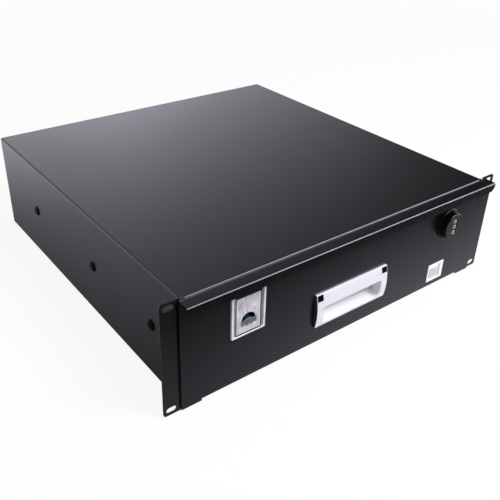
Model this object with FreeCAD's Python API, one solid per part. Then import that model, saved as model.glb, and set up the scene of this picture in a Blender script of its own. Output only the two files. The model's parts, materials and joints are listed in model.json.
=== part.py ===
import FreeCAD
import Part
import math
import os

# Sliding 3U drawer for a 19-inch rack, in millimetres.
# X runs across the rack, Y from the front towards the back, Z up.
# The origin is the middle of the four rack slots, on the front face of the ears.

V = FreeCAD.Vector
AXIS_X = V(1, 0, 0)
AXIS_Y = V(0, 1, 0)
AXIS_Z = V(0, 0, 1)
os.makedirs("parts", exist_ok=True)

# ---- driving dimensions -------------------------------------------------
# rack ears
RACK_WIDTH = 482.6
EAR_HEIGHT = 132.55
EAR_CORNER = 3.0
SLOT_EDGE_X = 8.75
SLOT_EDGE_Z = 5.95
SLOT_LENGTH = 11.5
SLOT_WIDTH = 6.8

# case, a folded steel wrap with a floor and a rear panel
EAR_REACH = 21.9
EAR_STEP = 1.825
CASE_DEPTH = 451.5
CASE_SHEET = 1.5
BEND_INSIDE = 0.8
CORNER_RELIEF = 3.5
HOOD_SETBACK = 0.8
HOOD_DROP = 10.3
SIDE_FLANGE = 14.0
FLOOR_SHEET = 1.2
FLOOR_SETBACK = 14.0
REAR_FLANGE = 12.0
RIVET_RADIUS = 1.6
RIVET_HEAD_RADIUS = 3.2
RIVET_HEAD = 0.9
RIVETS_PER_SIDE = 3
RIVET_END = 34.0

# telescopic ball slides
SLIDE_THICKNESS = 12.7
SLIDE_HEIGHT = 45.7
SLIDE_START = 6.0
SLIDE_REAR_SPACE = 45.5
SLIDE_AXIS_Z = 0.7
SLIDE_SHEET = 1.2
RUNNER_GAP = 0.3
RACE_LIP = 1.3
BALL_RADIUS = 2.38
BALL_GAP = 0.08
BALLS_PER_ROW = 3
BALL_END_MARGIN = 7.0
CAGE_SHEET = 0.6
CAGE_LENGTH = 160.0
CAGE_HOLE_GAP = 0.12
OUTER_TIP_SPACE = 1.5
MIDDLE_TIP_SPACE = 1.8
OUTER_CAGE_TIP_SPACE = 2.4
INNER_CAGE_TIP_SPACE = 2.0
CASE_SCREW_FRONT = 50.0
CASE_SCREW_MIDDLE = 179.5
CASE_SCREW_REAR = 61.0
CASE_SCREW_RADIUS = 2.0
CASE_SCREW_HEAD = 6.3
CASE_SCREW_HEAD_HEIGHT = 2.2
TRAY_SCREW_END = 30.0
TRAY_SCREW_RADIUS = 1.9
TRAY_SCREW_HEAD = 3.9
TRAY_SCREW_HEAD_HEIGHT = 1.5

# drawer front, a folded sheet with a forward lip along the top
FRONT_OVERLAP = 3.1
FRONT_SHEET = 1.5
FRONT_GAP = 0.8
FRONT_TOP_STEP = 1.1
FRONT_FOOT_STEP = 1.0
LIP_REACH = 14.2
LIP_DROP = 10.6
LIP_CORNER = 8.0
TOE_NOTCH = 23.5
TOE_LIFT = 1.2
TOE_DEPTH = 10.0

# drawer tray
TRAY_SHEET = 1.2
TRAY_FLOOR_SPACE = 4.95
TRAY_HOOD_SPACE = 2.15
TRAY_REAR_SPACE = 13.5
TRAY_HEM = 6.0

# recessed pull handle
HANDLE_WIDTH = 108.0
HANDLE_TOP = 2.8
HANDLE_BOTTOM = -39.3
HANDLE_TOP_PROUD = 2.4
HANDLE_MID_PROUD = 5.45
HANDLE_FOOT_PROUD = 3.1
HANDLE_WALL = 2.0
HANDLE_EDGE = 0.6
CUP_WALL = 1.3
CUTOUT_GAP = 0.3
HOOD_EDGE_Z = -13.4
CUP_HALF_WIDTH = 44.5
CUP_DEPTH = 12.0
CUP_TOP = -4.0
CUP_FOOT = -35.9
CUP_ROUND = 9.0
CUP_END_ROUND = 6.0
CAP_X = 49.15
CAP_Z = -1.6
CAP_WIDTH = 8.4
CAP_HEIGHT = 7.4
CAP_SEAT = 2.2
CAP_GAP = 0.05
HANDLE_SCREW_RADIUS = 1.5
HANDLE_SCREW_HEAD = 2.8
HANDLE_SCREW_HEAD_HEIGHT = 1.1
HANDLE_NUT_FLATS = 5.5
HANDLE_NUT_HEIGHT = 2.4
SCREW_HOLE_GAP = 0.2
SCREW_TIP = 0.6

# slide latch
LATCH_INSET = 77.5
LATCH_Z = 19.85
LATCH_WIDTH = 41.0
LATCH_HEIGHT = 48.3
LATCH_SHEET = 0.8
LATCH_RAIL = 4.95
LATCH_FOOT_RAIL = 2.0
LATCH_RAIL_PROUD = 1.9
LATCH_RIDGE = 2.3
LATCH_STEP = 0.8
LATCH_OPEN_TOP = 3.35
LATCH_COVER_SHEET = 1.0
LATCH_COVER_GAP = 0.8
LATCH_BOX_HALF_WIDTH = 13.0
LATCH_BOX_BELOW = 18.0
LATCH_BOX_ABOVE = 20.0
LATCH_BOX_DEPTH = 9.0
LATCH_BOX_WALL = 1.2
MOON_RADIUS = 8.7
MOON_Z = -7.7
MOON_CUT = 0.5
BOLT_HOOD_SPACE = 0.75
BOLT_NOSE_HALF_WIDTH = 7.0
BOLT_SHOULDER_Z = 14.0
BOLT_FOOT_Z = -15.0
BOLT_FRONT = 3.3
BOLT_SIDE_GAP = 0.3
BOLT_BEVEL = 2.5
TAB_NECK_HALF_WIDTH = 3.5
TAB_NECK_HEIGHT = 1.6
TAB_HALF_WIDTH = 8.8
TAB_HEIGHT = 7.3
TAB_TOP_Z = -5.9
TAB_THICKNESS = 1.3
TAB_GAP = 0.3
TAB_CORNER = 2.5

# combination cam lock
LOCK_INSET = 62.5
LOCK_Z = 22.2
COLLAR_RADIUS = 19.3
COLLAR_HEIGHT = 2.2
COLLAR_EDGE = 0.6
COLLAR_BORE = 11.6
BARREL_RADIUS = 9.5
BARREL_HOLE_GAP = 0.2
BARREL_LENGTH = 9.3
BARREL_FLANGE_RADIUS = 11.3
BARREL_FLANGE = 0.8
LOCK_NUT_FLATS = 25.0
LOCK_NUT_HEIGHT = 3.0
SPINDLE_RADIUS = 4.0
SPINDLE_GAP = 0.05
SPINDLE_DISC_RADIUS = 11.2
SPINDLE_DISC = 1.2
SPINDLE_SQUARE = 5.4
KNOB_BASE_RADIUS = 17.6
KNOB_FACE_RADIUS = 16.2
KNOB_DEPTH = 7.7
KNOB_GAP = 0.1
KNOB_EDGE = 0.8
DIAL_RADIUS = 4.0
DIAL_WIDTH = 4.4
DIAL_PITCH = 7.4
DIAL_PROUD = 0.7
DIAL_SIDE_GAP = 0.25
DIAL_RIM_GAP = 0.3
DIAL_BORE_GAP = 0.05
AXLE_RADIUS = 1.0
AXLE_HALF_LENGTH = 12.5
CAM_SHEET = 2.0
CAM_CATCH = 6.05
CAM_WIDTH = 12.0
CAM_JOGGLE = 3.6
CAM_JOGGLE_START = 13.0
CAM_JOGGLE_RUN = 6.0
CAM_SCREW_HEAD = 4.4
CAM_SCREW_HEAD_HEIGHT = 2.0
CAM_SCREW_RADIUS = 1.5
CAM_SCREW_LENGTH = 7.0

# ---- sizes that follow from them ---------------------------------------
CASE_WIDTH = RACK_WIDTH - 2 * EAR_REACH
CASE_HEIGHT = EAR_HEIGHT - 2 * EAR_STEP
SLOT_SPACING_X = RACK_WIDTH - 2 * SLOT_EDGE_X
SLOT_SPACING_Z = EAR_HEIGHT - 2 * SLOT_EDGE_Z
CASE_HALF = CASE_WIDTH / 2
CASE_INNER = CASE_HALF - CASE_SHEET
CASE_TOP = CASE_HEIGHT / 2
CASE_BOTTOM = -CASE_HEIGHT / 2
HOOD_FOOT = CASE_TOP - HOOD_DROP
SLIDE_LENGTH = CASE_DEPTH - SLIDE_START - SLIDE_REAR_SPACE
SLIDE_END = SLIDE_START + SLIDE_LENGTH
CASE_SCREW_Y = (SLIDE_START + CASE_SCREW_FRONT, SLIDE_START + CASE_SCREW_MIDDLE, SLIDE_END - CASE_SCREW_REAR)
TRAY_SCREW_Y = (SLIDE_START + TRAY_SCREW_END, (SLIDE_START + SLIDE_END) / 2, SLIDE_END - TRAY_SCREW_END)
FRONT_WIDTH = CASE_WIDTH + 2 * FRONT_OVERLAP
FRONT_TOP = EAR_HEIGHT / 2 - FRONT_TOP_STEP
FRONT_BOTTOM = FRONT_FOOT_STEP - EAR_HEIGHT / 2
TOE_HALF_WIDTH = FRONT_WIDTH / 2 - TOE_NOTCH
FRONT_BACK = -FRONT_GAP
FRONT_FACE = FRONT_BACK - FRONT_SHEET
TRAY_HALF = CASE_INNER - SLIDE_THICKNESS
TRAY_FRONT_BACK = FRONT_BACK + TRAY_SHEET
TRAY_BOTTOM = CASE_BOTTOM + TRAY_FLOOR_SPACE
TRAY_TOP = HOOD_FOOT - TRAY_HOOD_SPACE
TRAY_BACK = CASE_DEPTH - TRAY_REAR_SPACE
LATCH_X = LATCH_INSET - FRONT_WIDTH / 2
BOLT_TOP = HOOD_FOOT - BOLT_HOOD_SPACE
LOCK_X = FRONT_WIDTH / 2 - LOCK_INSET
CAM_LENGTH = HOOD_FOOT - LOCK_Z + CAM_CATCH
MIDDLE_SHIFT = SLIDE_SHEET + CAGE_SHEET + 2 * RUNNER_GAP
OUTER_HALF = SLIDE_HEIGHT / 2 - SLIDE_SHEET / 2
BALL_ROW_OUTER = OUTER_HALF - SLIDE_SHEET / 2 - BALL_GAP - BALL_RADIUS
MIDDLE_HALF = BALL_ROW_OUTER - BALL_RADIUS - BALL_GAP - SLIDE_SHEET / 2
BALL_ROW_INNER = MIDDLE_HALF - SLIDE_SHEET / 2 - BALL_GAP - BALL_RADIUS
INNER_HALF = BALL_ROW_INNER - BALL_RADIUS - BALL_GAP - SLIDE_SHEET / 2
OUTER_CAGE_WEB = SLIDE_SHEET + RUNNER_GAP + CAGE_SHEET / 2
INNER_CAGE_WEB = MIDDLE_SHIFT + SLIDE_SHEET + RUNNER_GAP + CAGE_SHEET / 2
OUTER_TIP = SLIDE_THICKNESS - OUTER_TIP_SPACE
MIDDLE_TIP = SLIDE_THICKNESS - MIDDLE_TIP_SPACE
OUTER_CAGE_TIP = SLIDE_THICKNESS - OUTER_CAGE_TIP_SPACE
INNER_CAGE_TIP = SLIDE_THICKNESS - INNER_CAGE_TIP_SPACE
OUTER_BALL_U = (OUTER_CAGE_WEB + OUTER_CAGE_TIP + CAGE_SHEET) / 2
INNER_BALL_U = (INNER_CAGE_WEB + INNER_CAGE_TIP + CAGE_SHEET) / 2
KNOB_BACK = FRONT_FACE - COLLAR_HEIGHT - KNOB_GAP
KNOB_FRONT = KNOB_BACK - KNOB_DEPTH
AXLE_Y = KNOB_FRONT - DIAL_PROUD + DIAL_RADIUS
SPINDLE_DISC_BACK = KNOB_BACK + SPINDLE_DISC
BARREL_END = FRONT_FACE + BARREL_LENGTH
LATCH_FACE = FRONT_FACE - LATCH_SHEET


# ---- shape helpers -----------------------------------------------------
def unit(vector):
    return V(vector).normalize()


def rounded_wire(points, radii):
    """Closed wire through the points, each corner rounded by its own radius."""
    count = len(points)
    entries = []
    edges = []
    for i in range(count):
        corner = points[i]
        radius = radii[i]
        if radius <= 0:
            entries.append((corner, corner))
            continue
        back = unit(points[i - 1] - corner)
        ahead = unit(points[(i + 1) % count] - corner)
        half = back.getAngle(ahead) / 2
        reach = radius / math.tan(half)
        middle = unit(back + ahead)
        start = corner + back * reach
        end = corner + ahead * reach
        top = corner + middle * (radius / math.sin(half) - radius)
        edges.append(Part.Arc(start, top, end).toShape())
        entries.append((start, end))
    for i in range(count):
        leave = entries[i][1]
        arrive = entries[(i + 1) % count][0]
        if (arrive - leave).Length > 1e-6:
            edges.append(Part.LineSegment(leave, arrive).toShape())
    return Part.Wire(Part.__sortEdges__(edges))


def prism(points, radii, run):
    """Straight solid on a rounded outline."""
    return Part.Face(rounded_wire(points, radii)).extrude(run)


def folded(path, sheet, run, inside=BEND_INSIDE):
    """Folded sheet: the path is its middle line, and run the length of the fold."""
    normal = unit(run)
    left = []
    right = []
    left_radii = []
    right_radii = []
    for i, point in enumerate(path):
        before = unit(point - path[i - 1]) if i > 0 else None
        after = unit(path[i + 1] - point) if i < len(path) - 1 else None
        first = normal.cross(before or after)
        second = normal.cross(after or before)
        shift = (first + second) * (1 / (1 + first.dot(second)))
        left.append(point + shift * (sheet / 2))
        right.append(point - shift * (sheet / 2))
        turn = before.cross(after).dot(normal) if before and after else 0
        left_radii.append(0 if turn == 0 else inside + (sheet if turn < 0 else 0))
        right_radii.append(0 if turn == 0 else inside + (sheet if turn > 0 else 0))
    points = left + right[::-1]
    return prism(points, left_radii + right_radii[::-1], run)


def box(x0, x1, y0, y1, z0, z1):
    return Part.makeBox(x1 - x0, y1 - y0, z1 - z0, V(x0, y0, z0))


def panel(x0, x1, z0, z1, y0, y1, corner=0.0):
    """Flat plate facing the front, with equal corner radii."""
    points = [V(x0, y0, z0), V(x1, y0, z0), V(x1, y0, z1), V(x0, y0, z1)]
    return prism(points, [corner] * 4, V(0, y1 - y0, 0))


def round_bar(x, z, radius, y0, y1):
    return Part.makeCylinder(radius, y1 - y0, V(x, y0, z), AXIS_Y)


def hex_bar(x, z, flats, y0, y1):
    corner = flats / math.sqrt(3)
    angles = [math.radians(60 * i + 30) for i in range(6)]
    points = [V(x + corner * math.cos(a), y0, z + corner * math.sin(a)) for a in angles]
    return prism(points, [0] * 6, V(0, y1 - y0, 0))


def screw_blank(head_radius, head_height, shank_radius, shank_length):
    """Screw with a bevelled head above the XY plane and its shank below it."""
    points = [V(0, 0, head_height), V(head_radius * 0.6, 0, head_height),
              V(head_radius, 0, head_height * 0.3), V(head_radius, 0, 0), V(shank_radius, 0, 0),
              V(shank_radius, 0, -shank_length), V(0, 0, -shank_length)]
    profile = Part.makePolygon(points + points[:1])
    return Part.Face(profile).revolve(V(0, 0, 0), AXIS_Z, 360)


def placed(shape, position, direction):
    """Copy of a shape whose +Z is turned to a direction and moved to a position."""
    copy = shape.copy()
    copy.Placement = FreeCAD.Placement(position, FreeCAD.Rotation(AXIS_Z, direction))
    return copy


def mirrored(shape):
    return shape.mirror(V(0, 0, 0), AXIS_X)


def save(name, *solids):
    shape = solids[0] if len(solids) == 1 else Part.makeCompound(list(solids))
    shape.exportStep("parts/" + name + ".step")
    print(name, len(shape.Solids), round(shape.Volume, 1), shape.isValid())


def save_pair(name, *right_solids):
    """The right-hand piece as drawn, and the left-hand one as its mirror image."""
    save(name + "_right", *right_solids)
    save(name + "_left", *[mirrored(solid) for solid in right_solids])


# ---- case --------------------------------------------------------------
def case_shell():
    wall = CASE_INNER + CASE_SHEET / 2
    roof = CASE_TOP - CASE_SHEET / 2
    foot = CASE_BOTTOM + CASE_SHEET / 2
    start = CORNER_RELIEF
    flange = wall - SIDE_FLANGE
    wrap_path = [V(-flange, start, foot), V(-wall, start, foot), V(-wall, start, roof),
                 V(wall, start, roof), V(wall, start, foot), V(flange, start, foot)]
    shell = folded(wrap_path, CASE_SHEET, V(0, CASE_DEPTH - start, 0))

    # the roof runs on to the front and folds down behind the drawer front
    hood_half = CASE_INNER - CORNER_RELIEF
    hood_y = HOOD_SETBACK + CASE_SHEET / 2
    hood_path = [V(-hood_half, start + 1, roof), V(-hood_half, hood_y, roof),
                 V(-hood_half, hood_y, CASE_TOP - HOOD_DROP)]
    shell = shell.fuse(folded(hood_path, CASE_SHEET, V(2 * hood_half, 0, 0)))

    # each side wall folds outwards into a rack ear
    ear_y = CASE_SHEET / 2
    bend = BEND_INSIDE + CASE_SHEET
    ear_foot = CASE_BOTTOM + CORNER_RELIEF
    height = CASE_HEIGHT - 2 * CORNER_RELIEF
    for side in (-1, 1):
        ear_path = [V(side * wall, start + 1, ear_foot), V(side * wall, ear_y, ear_foot),
                    V(side * (wall + 2 * bend), ear_y, ear_foot)]
        shell = shell.fuse(folded(ear_path, CASE_SHEET, V(0, 0, height)))
        inner = side * (CASE_INNER + bend)
        outer = side * RACK_WIDTH / 2
        half = EAR_HEIGHT / 2
        points = [V(inner, 0, -half), V(outer, 0, -half), V(outer, 0, half), V(inner, 0, half)]
        ear = prism(points, [0, EAR_CORNER, EAR_CORNER, 0], V(0, CASE_SHEET, 0))
        shell = shell.fuse(ear)

    # rack slots
    for side in (-1, 1):
        for level in (-1, 1):
            x = side * SLOT_SPACING_X / 2
            z = level * SLOT_SPACING_Z / 2
            slot = panel(x - SLOT_LENGTH / 2, x + SLOT_LENGTH / 2, z - SLOT_WIDTH / 2,
                         z + SLOT_WIDTH / 2, -1, CASE_SHEET + 1, SLOT_WIDTH / 2 - 0.001)
            shell = shell.cut(slot)

    # screw holes of the slides, and rivet holes of the floor
    for y in CASE_SCREW_Y:
        start = V(-CASE_HALF - 1, y, SLIDE_AXIS_Z)
        shell = shell.cut(Part.makeCylinder(CASE_SCREW_RADIUS, CASE_WIDTH + 2, start, AXIS_X))
    for x, y in rivet_places():
        shell = shell.cut(Part.makeCylinder(RIVET_RADIUS, 2 * CASE_SHEET, V(x, y, CASE_BOTTOM - 1), AXIS_Z))
    return shell.removeSplitter()


def rivet_places():
    x = CASE_INNER - SIDE_FLANGE / 2
    step = (CASE_DEPTH - 2 * RIVET_END) / (RIVETS_PER_SIDE - 1)
    return [(side * x, RIVET_END + i * step) for side in (-1, 1) for i in range(RIVETS_PER_SIDE)]


def floor_panel():
    z = CASE_BOTTOM + CASE_SHEET
    back = CASE_DEPTH - CASE_SHEET
    plate = box(-CASE_INNER + BEND_INSIDE, CASE_INNER - BEND_INSIDE, FLOOR_SETBACK, back, z, z + FLOOR_SHEET)
    for x, y in rivet_places():
        plate = plate.cut(Part.makeCylinder(RIVET_RADIUS, 2 * FLOOR_SHEET, V(x, y, z - 0.5), AXIS_Z))
    return plate


def floor_rivets():
    length = CASE_SHEET + FLOOR_SHEET
    rivet = screw_blank(RIVET_HEAD_RADIUS, RIVET_HEAD, RIVET_RADIUS, length)
    z = CASE_BOTTOM + length
    return [placed(rivet, V(x, y, z), AXIS_Z) for x, y in rivet_places()]


def rear_panel():
    """Plate across the back with a flange folded forward at each side and at the top."""
    back = CASE_DEPTH - CASE_SHEET / 2
    floor_top = CASE_BOTTOM + CASE_SHEET + FLOOR_SHEET
    side_x = CASE_INNER - CASE_SHEET / 2
    roof = CASE_TOP - CASE_SHEET
    plan = [V(-side_x, back - REAR_FLANGE, floor_top), V(-side_x, back, floor_top),
            V(side_x, back, floor_top), V(side_x, back - REAR_FLANGE, floor_top)]
    plate = folded(plan, CASE_SHEET, V(0, 0, roof - BEND_INSIDE - floor_top))
    inset = side_x - REAR_FLANGE
    profile = [V(-inset, back - REAR_FLANGE, roof - CASE_SHEET / 2), V(-inset, back, roof - CASE_SHEET / 2),
               V(-inset, back, roof - REAR_FLANGE)]
    return plate.fuse(folded(profile, CASE_SHEET, V(2 * inset, 0, 0))).removeSplitter()


# ---- telescopic slides, drawn on the right and mirrored for the left ----
def runner(section, sheet, start, length):
    """Folded runner from a section of (distance from the case wall, height) pairs."""
    path = [V(CASE_INNER - u, start, SLIDE_AXIS_Z + z) for u, z in section]
    return folded(path, sheet, V(0, length, 0))


def screw_bore(y, radius, depth):
    """Bore across one slide, from the case wall inwards."""
    return Part.makeCylinder(radius, depth, V(CASE_INNER - depth, y, SLIDE_AXIS_Z), AXIS_X)


def slide_outer():
    web = SLIDE_SHEET / 2
    tip = OUTER_TIP
    bend = tip - RACE_LIP
    half = OUTER_HALF
    section = [(tip, RACE_LIP - half), (bend, -half), (web, -half),
               (web, half), (bend, half), (tip, half - RACE_LIP)]
    shape = runner(section, SLIDE_SHEET, SLIDE_START, SLIDE_LENGTH)
    for y in CASE_SCREW_Y:
        shape = shape.cut(screw_bore(y, CASE_SCREW_RADIUS, SLIDE_THICKNESS))
    return shape


def slide_middle():
    web = MIDDLE_SHIFT + SLIDE_SHEET / 2
    tip = MIDDLE_TIP
    bend = tip - RACE_LIP
    half = MIDDLE_HALF
    section = [(tip, -RACE_LIP - half), (bend, -half), (web, -half),
               (web, half), (bend, half), (tip, half + RACE_LIP)]
    return runner(section, SLIDE_SHEET, SLIDE_START, SLIDE_LENGTH)


def slide_inner():
    web = SLIDE_THICKNESS - SLIDE_SHEET / 2
    tip = MIDDLE_SHIFT + SLIDE_SHEET + CAGE_SHEET + 3 * RUNNER_GAP
    section = [(tip, -INNER_HALF), (web, -INNER_HALF), (web, INNER_HALF), (tip, INNER_HALF)]
    shape = runner(section, SLIDE_SHEET, SLIDE_START, SLIDE_LENGTH)
    for y in TRAY_SCREW_Y:
        shape = shape.cut(screw_bore(y, TRAY_SCREW_RADIUS, SLIDE_THICKNESS + 1))
    return shape


def ball_places(u, half):
    """Ball pockets of one cage: two rows, above and below the slide's axis."""
    middle = (SLIDE_START + SLIDE_END) / 2
    step = (CAGE_LENGTH - 2 * BALL_END_MARGIN) / (BALLS_PER_ROW - 1)
    ys = [middle + (i - (BALLS_PER_ROW - 1) / 2) * step for i in range(BALLS_PER_ROW)]
    return [V(CASE_INNER - u, y, SLIDE_AXIS_Z + level * half) for y in ys for level in (-1, 1)]


def ball_cage(web, tip, u, half):
    start = SLIDE_START + (SLIDE_LENGTH - CAGE_LENGTH) / 2
    section = [(tip, -half), (web, -half), (web, half), (tip, half)]
    cage = runner(section, CAGE_SHEET, start, CAGE_LENGTH)
    hole = BALL_RADIUS + CAGE_HOLE_GAP
    for centre in ball_places(u, half):
        cage = cage.cut(Part.makeCylinder(hole, 4 * CAGE_SHEET, centre - AXIS_Z * (2 * CAGE_SHEET), AXIS_Z))
    return cage


def balls(u, half):
    return [Part.makeSphere(BALL_RADIUS, centre) for centre in ball_places(u, half)]


def case_screws():
    screw = screw_blank(CASE_SCREW_HEAD, CASE_SCREW_HEAD_HEIGHT, CASE_SCREW_RADIUS, CASE_SHEET + SLIDE_SHEET)
    return [placed(screw, V(CASE_HALF, y, SLIDE_AXIS_Z), AXIS_X) for y in CASE_SCREW_Y]


def tray_screws():
    screw = screw_blank(TRAY_SCREW_HEAD, TRAY_SCREW_HEAD_HEIGHT, TRAY_SCREW_RADIUS, SLIDE_SHEET + TRAY_SHEET)
    return [placed(screw, V(TRAY_HALF + SLIDE_SHEET, y, SLIDE_AXIS_Z), AXIS_X) for y in TRAY_SCREW_Y]


# ---- drawer front and tray ---------------------------------------------
def front_openings(y0, y1):
    """Cut-outs that the front and the tray's front wall share."""
    cup = CUP_WALL + CUTOUT_GAP
    handle = panel(-CUP_HALF_WIDTH - cup, CUP_HALF_WIDTH + cup, CUP_FOOT - cup, CUP_TOP + cup, y0, y1)
    latch_half = LATCH_BOX_HALF_WIDTH + CUTOUT_GAP
    latch = panel(LATCH_X - latch_half, LATCH_X + latch_half, LATCH_Z - LATCH_BOX_BELOW - CUTOUT_GAP,
                  LATCH_Z + LATCH_BOX_ABOVE + CUTOUT_GAP, y0, y1)
    lock = round_bar(LOCK_X, LOCK_Z, BARREL_RADIUS + BARREL_HOLE_GAP, y0, y1)
    cuts = [handle, latch, lock]
    for side in (-1, 1):
        cuts.append(round_bar(side * CAP_X, CAP_Z, HANDLE_SCREW_RADIUS + SCREW_HOLE_GAP, y0, y1))
    return cuts


def drawer_front():
    half = FRONT_WIDTH / 2
    plate_y = FRONT_BACK - FRONT_SHEET / 2
    lip_z = FRONT_TOP - FRONT_SHEET / 2
    lip_y = plate_y - LIP_REACH
    path = [V(-half, plate_y, FRONT_BOTTOM), V(-half, plate_y, lip_z),
            V(-half, lip_y, lip_z), V(-half, lip_y, FRONT_TOP - LIP_DROP)]
    front = folded(path, FRONT_SHEET, V(2 * half, 0, 0))

    # rounded lower corners of the lip
    lip_foot = FRONT_TOP - LIP_DROP
    for side in (-1, 1):
        corner = V(side * half, lip_y - FRONT_SHEET, lip_foot)
        blank = prism([corner, corner - AXIS_X * (side * LIP_CORNER),
                       corner + V(-side * LIP_CORNER, 0, LIP_CORNER), corner + AXIS_Z * LIP_CORNER],
                      [0] * 4, V(0, 2 * FRONT_SHEET, 0))
        keep = round_bar(side * (half - LIP_CORNER), lip_foot + LIP_CORNER, LIP_CORNER,
                         lip_y - FRONT_SHEET, lip_y + FRONT_SHEET)
        front = front.cut(blank.cut(keep))

    # toe flange folded back under the tray, between two square notches
    toe_z = FRONT_BOTTOM + TOE_LIFT + FRONT_SHEET / 2
    cut_top = toe_z + 3 * FRONT_SHEET
    half_toe = TOE_HALF_WIDTH
    front = front.cut(box(-half_toe, half_toe, FRONT_FACE - 1, FRONT_BACK + 1, FRONT_BOTTOM - 1, cut_top))
    toe = [V(-TOE_HALF_WIDTH, plate_y, cut_top), V(-TOE_HALF_WIDTH, plate_y, toe_z),
           V(-TOE_HALF_WIDTH, FRONT_BACK + TOE_DEPTH, toe_z)]
    front = front.fuse(folded(toe, FRONT_SHEET, V(2 * TOE_HALF_WIDTH, 0, 0)))
    for cut in front_openings(FRONT_FACE - 1, FRONT_BACK + 1):
        front = front.cut(cut)
    return front.removeSplitter()


def drawer_tray():
    wall = TRAY_HALF - TRAY_SHEET / 2
    floor_z = TRAY_BOTTOM + TRAY_SHEET / 2
    rim_z = TRAY_TOP - TRAY_SHEET / 2
    hem = wall - TRAY_HEM
    y0 = TRAY_FRONT_BACK
    depth = TRAY_BACK - TRAY_FRONT_BACK
    path = [V(-hem, y0, rim_z), V(-wall, y0, rim_z), V(-wall, y0, floor_z),
            V(wall, y0, floor_z), V(wall, y0, rim_z), V(hem, y0, rim_z)]
    tray = folded(path, TRAY_SHEET, V(0, depth, 0))
    corner = BEND_INSIDE + TRAY_SHEET
    for back_face in (TRAY_FRONT_BACK, TRAY_BACK):
        front_face = back_face - TRAY_SHEET
        tray = tray.fuse(panel(-TRAY_HALF, TRAY_HALF, TRAY_BOTTOM, TRAY_TOP, front_face, back_face, corner))
    for cut in front_openings(FRONT_BACK - 1, TRAY_FRONT_BACK + 0.5):
        tray = tray.cut(cut)
    for y in TRAY_SCREW_Y:
        start = V(-TRAY_HALF - 1, y, SLIDE_AXIS_Z)
        tray = tray.cut(Part.makeCylinder(TRAY_SCREW_RADIUS, 2 * TRAY_HALF + 2, start, AXIS_X))
    return tray.removeSplitter()


# ---- recessed handle ---------------------------------------------------
def bowed_block(x0, x1):
    """Block whose front is the bow of the handle, standing on the panel."""
    top = V(x0, FRONT_FACE - HANDLE_TOP_PROUD, HANDLE_TOP)
    middle = V(x0, FRONT_FACE - HANDLE_MID_PROUD, (HANDLE_TOP + HANDLE_BOTTOM) / 2)
    foot = V(x0, FRONT_FACE - HANDLE_FOOT_PROUD, HANDLE_BOTTOM)
    bow = Part.Arc(top, middle, foot).toShape()
    rest = Part.makePolygon([foot, V(x0, FRONT_FACE, foot.z), V(x0, FRONT_FACE, top.z), top])
    return Part.Face(Part.Wire([bow] + rest.Edges)).extrude(V(x1 - x0, 0, 0))


def end_edges(recess):
    """Edges around the back and the floor of a recess at its two ends."""
    found = []
    for edge in recess.Edges:
        reach = edge.BoundBox
        at_end = reach.XLength < 0.01
        on_back = reach.YMin > FRONT_FACE + CUP_DEPTH - CUP_ROUND - 0.1
        on_floor = reach.ZMax < CUP_FOOT + CUP_ROUND + 0.1 and reach.YMax > FRONT_FACE
        if at_end and (on_back or on_floor):
            found.append(edge)
    return found


def handle_shell():
    half = HANDLE_WIDTH / 2
    body = bowed_block(-half, half)
    proud = FRONT_FACE - HANDLE_TOP_PROUD / 2
    rim = [edge for edge in body.Edges if edge.BoundBox.YMax < proud]
    body = body.makeFillet(HANDLE_EDGE, rim)
    outer = CUP_HALF_WIDTH + CUP_WALL
    back = FRONT_FACE + CUP_DEPTH + CUP_WALL
    cup_round = CUP_ROUND + CUP_WALL
    cup = [V(-outer, FRONT_FACE, CUP_TOP + CUP_WALL), V(-outer, back, CUP_TOP + CUP_WALL),
           V(-outer, back, CUP_FOOT - CUP_WALL), V(-outer, FRONT_FACE, CUP_FOOT - CUP_WALL)]
    body = body.fuse(prism(cup, [0, CUP_WALL, cup_round, 0], V(2 * outer, 0, 0)))

    # finger recess: open at the front below the hood, and hollow behind it
    hollow_back = FRONT_FACE + CUP_DEPTH
    hollow_front = FRONT_FACE - HANDLE_MID_PROUD - 5
    hood_back = FRONT_FACE - (HANDLE_TOP_PROUD + HANDLE_MID_PROUD) / 2 + HANDLE_WALL
    hollow = [V(-CUP_HALF_WIDTH, hood_back, CUP_TOP), V(-CUP_HALF_WIDTH, hollow_back, CUP_TOP),
              V(-CUP_HALF_WIDTH, hollow_back, CUP_FOOT), V(-CUP_HALF_WIDTH, hollow_front, CUP_FOOT),
              V(-CUP_HALF_WIDTH, hollow_front, HOOD_EDGE_Z), V(-CUP_HALF_WIDTH, hood_back, HOOD_EDGE_Z)]
    recess = prism(hollow, [0, 0, CUP_ROUND, 0, 0, 0], V(2 * CUP_HALF_WIDTH, 0, 0))
    body = body.cut(recess.makeFillet(CUP_END_ROUND, end_edges(recess)))

    # seats of the two square caps and of the screws under them
    seat = FRONT_FACE - CAP_SEAT
    head_seat = seat + HANDLE_SCREW_HEAD_HEIGHT
    front = FRONT_FACE - HANDLE_MID_PROUD - 1
    for side in (-1, 1):
        x = side * CAP_X
        body = body.cut(panel(x - CAP_WIDTH / 2, x + CAP_WIDTH / 2, CAP_Z - CAP_HEIGHT / 2,
                              CAP_Z + CAP_HEIGHT / 2, front, seat))
        body = body.cut(round_bar(x, CAP_Z, HANDLE_SCREW_HEAD + CAP_GAP, front, head_seat))
        body = body.cut(round_bar(x, CAP_Z, HANDLE_SCREW_RADIUS, front, FRONT_FACE + 1))
    return body.removeSplitter()


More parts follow.
